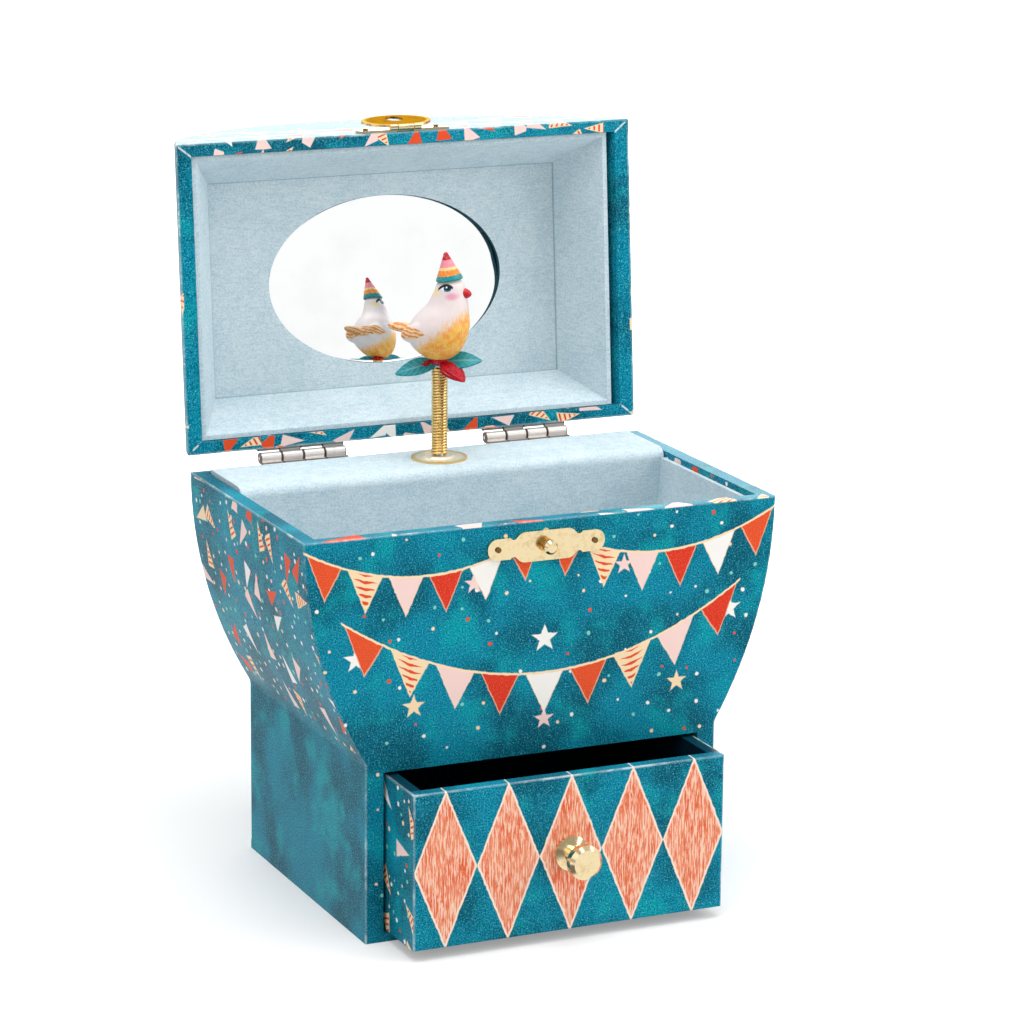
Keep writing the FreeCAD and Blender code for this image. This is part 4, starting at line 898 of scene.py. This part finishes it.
# %% [markdown]
# The paint is worked out in the bird's own directions: p forward, q to the side and h up. The belly is brushed
# yellow below a slanting line, the wings carry short orange feather strokes, and the face is an almond eye under
# a dark lash with a pink cheek.

# %% Bird: paint
EYE_P, EYE_H = 3.5, 23.7
CHEEK_P, CHEEK_H = 5.3, 21.3
WING_P, WING_H = -6.0, 9.2


def spot(p, h, ahead, level, reach, tall, hard=0.25):
    """An oval dab of paint: 1 in its middle, fading to 0 at its edge."""
    dp, dh = (p - ahead) / reach, (h - level) / tall
    return dp.span(dh).soft(1.0, hard)


def bird_face(p, h, colour):
    """The cheek and the eye: white, iris, pupil, lash and a glint, one over the other."""
    colour = (spot(p, h, CHEEK_P, CHEEK_H, 3.0, 1.6) * 0.8).blend(colour, ink("F096B4"))
    ahead, above = p - EYE_P, h - EYE_H
    inside = 1.0 - ahead * ahead * 0.22 - abs(above)
    colour = inside.soft(0.0, 0.15).blend(colour, ink("F4F6F6"))
    iris = spot(p, h, EYE_P + 0.25, EYE_H, 1.3, 1.3, 0.9) * inside.soft(0.0, 0.1)
    colour = iris.blend(colour, (above + 0.4).soft(0.3, -0.4).blend(ink("123E57"), ink("4A8CA8")))
    colour = spot(p, h, EYE_P + 0.3, EYE_H + 0.1, 0.7, 0.7, 0.85).blend(colour, ink("0A1018"))
    arch = abs(above - 1.05 + (ahead + 0.1) * (ahead + 0.1) * 0.19)
    lash = arch.soft(0.52, 0.34) * abs(ahead + 0.5).soft(2.7, 2.3)
    colour = lash.blend(colour, ink("10181E"))
    return spot(p, h, EYE_P - 0.05, EYE_H + 0.45, 0.32, 0.32, 0.8).blend(colour, ink("FFFFFF"))


def bird_paint(place):
    x, y, z = place.split()
    cosine, sine = math.cos(BIRD_TURN), math.sin(BIRD_TURN)
    p = x * cosine + (y - SPINDLE.y) * sine
    q = (y - SPINDLE.y) * cosine - x * sine
    h = z - BIRD_FLOOR
    local = place.join(p, q, h)
    brush = local.stretched(1.0, 1.0, 0.25).noise(1.7, 3.0, 0.6)
    colour = local.noise(0.3, 2.0).blend(ink("F1E4E1"), ink("E6D6D4"))
    belly = (p * 0.75 + 9.0 - h + (brush - 0.5) * 11.0).soft(-2.2, 3.2)
    straw = local.noise(0.5, 2.0).soft(0.4, 0.6).blend(ink("FF9E1C"), ink("FFC148"))
    straw = (brush.soft(0.46, 0.68) * 0.55).blend(straw, ink("FDDC9A"))
    colour = (belly * (0.7 + brush * 0.6)).blend(colour, straw)
    colour = spot(p, h, -0.2, 22.0, 1.9, 1.7).blend(colour, ink("F6DDA4"))
    waver = local.stretched(0.6, 1.0, 1.0).noise(0.9, 2.0) * 9.0
    strokes = (p * 0.9 + h * 5.0 + waver).sine().soft(-0.5, 0.5) * (0.6 + brush * 0.6)
    wing = (2.2 - abs(h - WING_H) - (p - WING_P).most(0.0) * 0.5).soft(0.0, 0.6)
    colour = (wing * strokes).blend((wing * 0.7).blend(colour, ink("F7C478")), ink("DC8228"))
    colour = bird_face(p, h, colour)
    return {"Base Color": colour, "Roughness": 0.34 + brush * 0.15, "height": brush, "depth": 0.08}


# %% [markdown]
# A voxel remesh makes one skin over all the masses, and a smooth takes out the creases. Both are then applied.

# %% Bird: one skin
SKIN_VOXEL, SKIN_PASSES = 0.3 * MM, 12

bird = new_piece("bird_body", bm, finish("painted_bird", bird_paint, shine=0.35))
skin = bird.modifiers.new("skin", "REMESH")
skin.mode = "VOXEL"
skin.voxel_size = SKIN_VOXEL
ease = bird.modifiers.new("ease", "SMOOTH")
ease.iterations = SKIN_PASSES
ease.factor = 0.5
made = bpy.data.meshes.new_from_object(bird.evaluated_get(bpy.context.evaluated_depsgraph_get()))
bird.modifiers.clear()
bird.data = made
bird.data.shade_smooth()
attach(bird, "figure")
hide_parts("bird")
print("bird skin faces:", len(bird.data.polygons))

# %% [markdown]
# The beak and the striped cone hat are turned shapes. The hat's bands are painted by height along its own axis.

# %% Beak and hat
BEAK_PLACE, BEAK_AIM = Vector((8.2, 0, 21.7)), (1, 0, -0.05)
HAT_PLACE, HAT_LEAN, HAT_HEIGHT = Vector((3.2, 0, 25.8)), Vector((-0.153, 0, 0.988)), 9.2
HAT_BANDS = [(0.0, "148E90"), (0.21, "EF8A2C"), (0.40, "F7CF8E"), (0.50, "EF8E9C"), (0.75, "B81A26")]
hat_foot = bird_place @ HAT_PLACE
hat_axis = bird_place.to_3x3() @ HAT_LEAN


def red_gloss(place):
    tone = place.noise(0.5, 2.0).soft(0.35, 0.65)
    return {"Base Color": tone.blend(ink("B0141E"), ink("CC262E")), "Roughness": 0.24 + tone * 0.12,
            "height": place.noise(1.4, 2.0), "depth": 0.05}


def hat_paint(place):
    from_foot = {0: place.minus(hat_foot), 1: hat_axis}
    height = place.node("VectorMath", {"operation": "DOT_PRODUCT"}, from_foot, "Value")
    brush = place.noise(1.2, 2.0)
    level = (height + brush * 0.5 - 0.1) / HAT_HEIGHT
    colour = level.banded([(start, ink(code)) for start, code in HAT_BANDS])
    colour = (brush.soft(0.5, 0.8) * 0.25).blend(colour, ink("FFF0DC"))
    return {"Base Color": colour, "Roughness": 0.34 + brush * 0.1, "height": brush, "depth": 0.05}


bm = turned([(0, -1.6), (1.55, -1.3), (1.84, -0.4), (1.7, 0.5), (1.25, 1.5), (0.65, 2.2), (0, 2.5)])
beak_place = bird_place @ Matrix.Translation(BEAK_PLACE) @ along(BEAK_AIM)
bmesh.ops.transform(bm, matrix=beak_place, verts=bm.verts)
beak = new_piece("bird_beak", bm, finish("red_enamel", red_gloss, shine=0.4))
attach(beak, "figure")

bm = turned([(0, 0.5), (3.5, 0.35), (4.15, 0.0), (4.42, 0.3), (4.3, 0.75), (2.5, 4.7), (0.9, 8.2), (0.72, 8.75),
             (0.4, 9.1), (0, HAT_HEIGHT)])
bmesh.ops.transform(bm, matrix=Matrix.Translation(hat_foot) @ along(hat_axis), verts=bm.verts)
hat = new_piece("cone_hat_painted", bm, finish("striped_hat", hat_paint, shine=0.35))
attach(hat, "figure")
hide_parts("cone_hat")
print("hat and beak faces:", len(hat.data.polygons) + len(beak.data.polygons))

# %% [markdown]
# Under the bird lie two teal leaves and two plump red petals. A leaf starts as a flat grid. Its points are drawn in
# to the outline of a leaf, creased along the midrib and curled down to the tip, and a Solidify modifier gives it
# the thickness of a casting. A petal starts as a ball that is drawn out to a point and scored with veins. Each pair
# grows out of a small hub.

# %% Leaves and petals
LEAF_LEVEL, LEAF_STALK, LEAF_THICKNESS = 163.0, 1.4, 0.7
PETAL_LEVEL, PETAL_STALK, PETAL_VEINS = 163.9, 1.6, 11
HUB = {"radius1": 2.6, "radius2": 2.4, "depth": 2.6}


def leaf_sheet(length, width):
    """A thin leaf along X. Its UV map says how far along and across it a point is."""
    bm = bmesh.new()
    bmesh.ops.create_grid(bm, x_segments=24, y_segments=14, size=0.5)
    layer = bm.loops.layers.uv.new("leaf")
    for face in bm.faces:
        for corner in face.loops:
            corner[layer].uv = corner.vert.co.xy + Vector((0.5, 0.5))
    for point in bm.verts:
        t, side = point.co.x + 0.5, point.co.y * 2
        breadth = width / 2 * math.sin(math.pi * (0.05 + 0.95 * t) ** 0.85) ** 0.85 if t < 1 else 0.0
        lift = 0.7 * abs(side) ** 1.5 * math.sin(math.pi * t) - 1.3 * t * t
        point.co = (LEAF_STALK + (length - LEAF_STALK) * t, side * breadth, lift)
    return bm


def petal_bud(length, width):
    """A plump petal along X."""
    bm = bmesh.new()
    lying = Matrix.Rotation(math.pi / 2, 4, "Y")
    bmesh.ops.create_uvsphere(bm, u_segments=48, v_segments=32, radius=1.0, matrix=lying)
    for point in bm.verts:
        t = (point.co.x + 1) / 2
        round_off = math.sqrt(max(1 - point.co.x ** 2, 1e-9))
        breadth = math.sin(math.pi * t ** 0.75) ** 0.75 if 0 < t < 1 else 0.0
        side, up = point.co.y / round_off, point.co.z / round_off
        breadth *= width * (1 - 0.08 * math.cos(PETAL_VEINS * math.atan2(up, side)))
        point.co = (PETAL_STALK + (length - PETAL_STALK) * t, side * breadth / 2, up * breadth * 0.22)
    return bm


def rosette(name, level, blades, material, node, thickness):
    """Leaves round a small hub, each given with the way it points, its droop and its roll."""
    whole = bmesh.new()
    centre = Matrix.Translation(SPINDLE + Vector((0, 0, level)))
    for bm, turn, droop, tip in blades:
        place = centre @ Matrix.Rotation(math.radians(turn), 4, "Z")
        place = place @ Matrix.Rotation(math.radians(droop), 4, "Y") @ Matrix.Rotation(math.radians(tip), 4, "X")
        bmesh.ops.transform(bm, matrix=place, verts=bm.verts)
        part = bpy.data.meshes.new("part")
        bm.to_mesh(part)
        bm.free()
        whole.from_mesh(part)
        bpy.data.meshes.remove(part)
    bmesh.ops.remove_doubles(whole, verts=whole.verts, dist=0.01)
    bmesh.ops.create_cone(whole, cap_ends=True, segments=32, matrix=centre, **HUB)
    piece = new_piece(name, whole, material)
    if thickness:
        casting = piece.modifiers.new("casting", "SOLIDIFY")
        casting.thickness = thickness * MM
        casting.offset = 0
        smooth = piece.modifiers.new("smooth", "SUBSURF")
        smooth.levels = smooth.render_levels = 1
    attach(piece, "figure")
    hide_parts(node)
    print(name, "faces:", len(piece.data.polygons))


def teal_gloss(place):
    """Teal enamel with pale slanting veins and a pale midrib that is a painted highlight on its crease, laid out on
    the leaf's UV map.
    """
    t, across, unused = place.node("TexCoord", None, None, "UV").split()
    side = abs(across - 0.5) * 2
    brush = place.noise(0.8, 3.0)
    veins = abs((t * 7 - side * 1.3) % 1 - 0.5).soft(0.13, 0.05) * 0.55
    colour = brush.soft(0.38, 0.64).blend(ink("0E8A96"), ink("1F9CA6"))
    # Pale veins, and along the midrib a pale line that is a painted highlight on the crease.
    colour = veins.most(side.soft(0.16, 0.06) * 0.8).blend(colour, ink("62B8BC"))
    return {"Base Color": colour, "Roughness": 0.28 + brush * 0.12, "height": brush - veins, "depth": 0.06}


def crimson_gloss(place):
    tone = place.noise(0.5, 2.0).soft(0.35, 0.65)
    veins = place.stretched(1.0, 1.0, 0.4).noise(1.6, 2.0).soft(0.46, 0.36)
    colour = (veins * 0.6).blend(tone.blend(ink("B00A1C"), ink("CE1028")), ink("640814"))
    return {"Base Color": colour, "Roughness": 0.2 + tone * 0.1, "height": tone - veins * 0.5, "depth": 0.1}


leaves = [(leaf_sheet(15.2, 6.8), 155, 13, -42), (leaf_sheet(13.8, 6.8), 335, -6, 42)]
petals = [(petal_bud(12.0, 8.4), -62, 30, 0), (petal_bud(9.5, 7.0), 118, 24, 0)]
teal_enamel = finish("teal_enamel", teal_gloss, shine=0.4)
crimson_enamel = finish("crimson_enamel", crimson_gloss, shine=0.3)
rosette("teal_leaf_pair", LEAF_LEVEL, leaves, teal_enamel, "teal_leaves", LEAF_THICKNESS)
rosette("red_petal_pair", PETAL_LEVEL, petals, crimson_enamel, "red_leaves", 0)
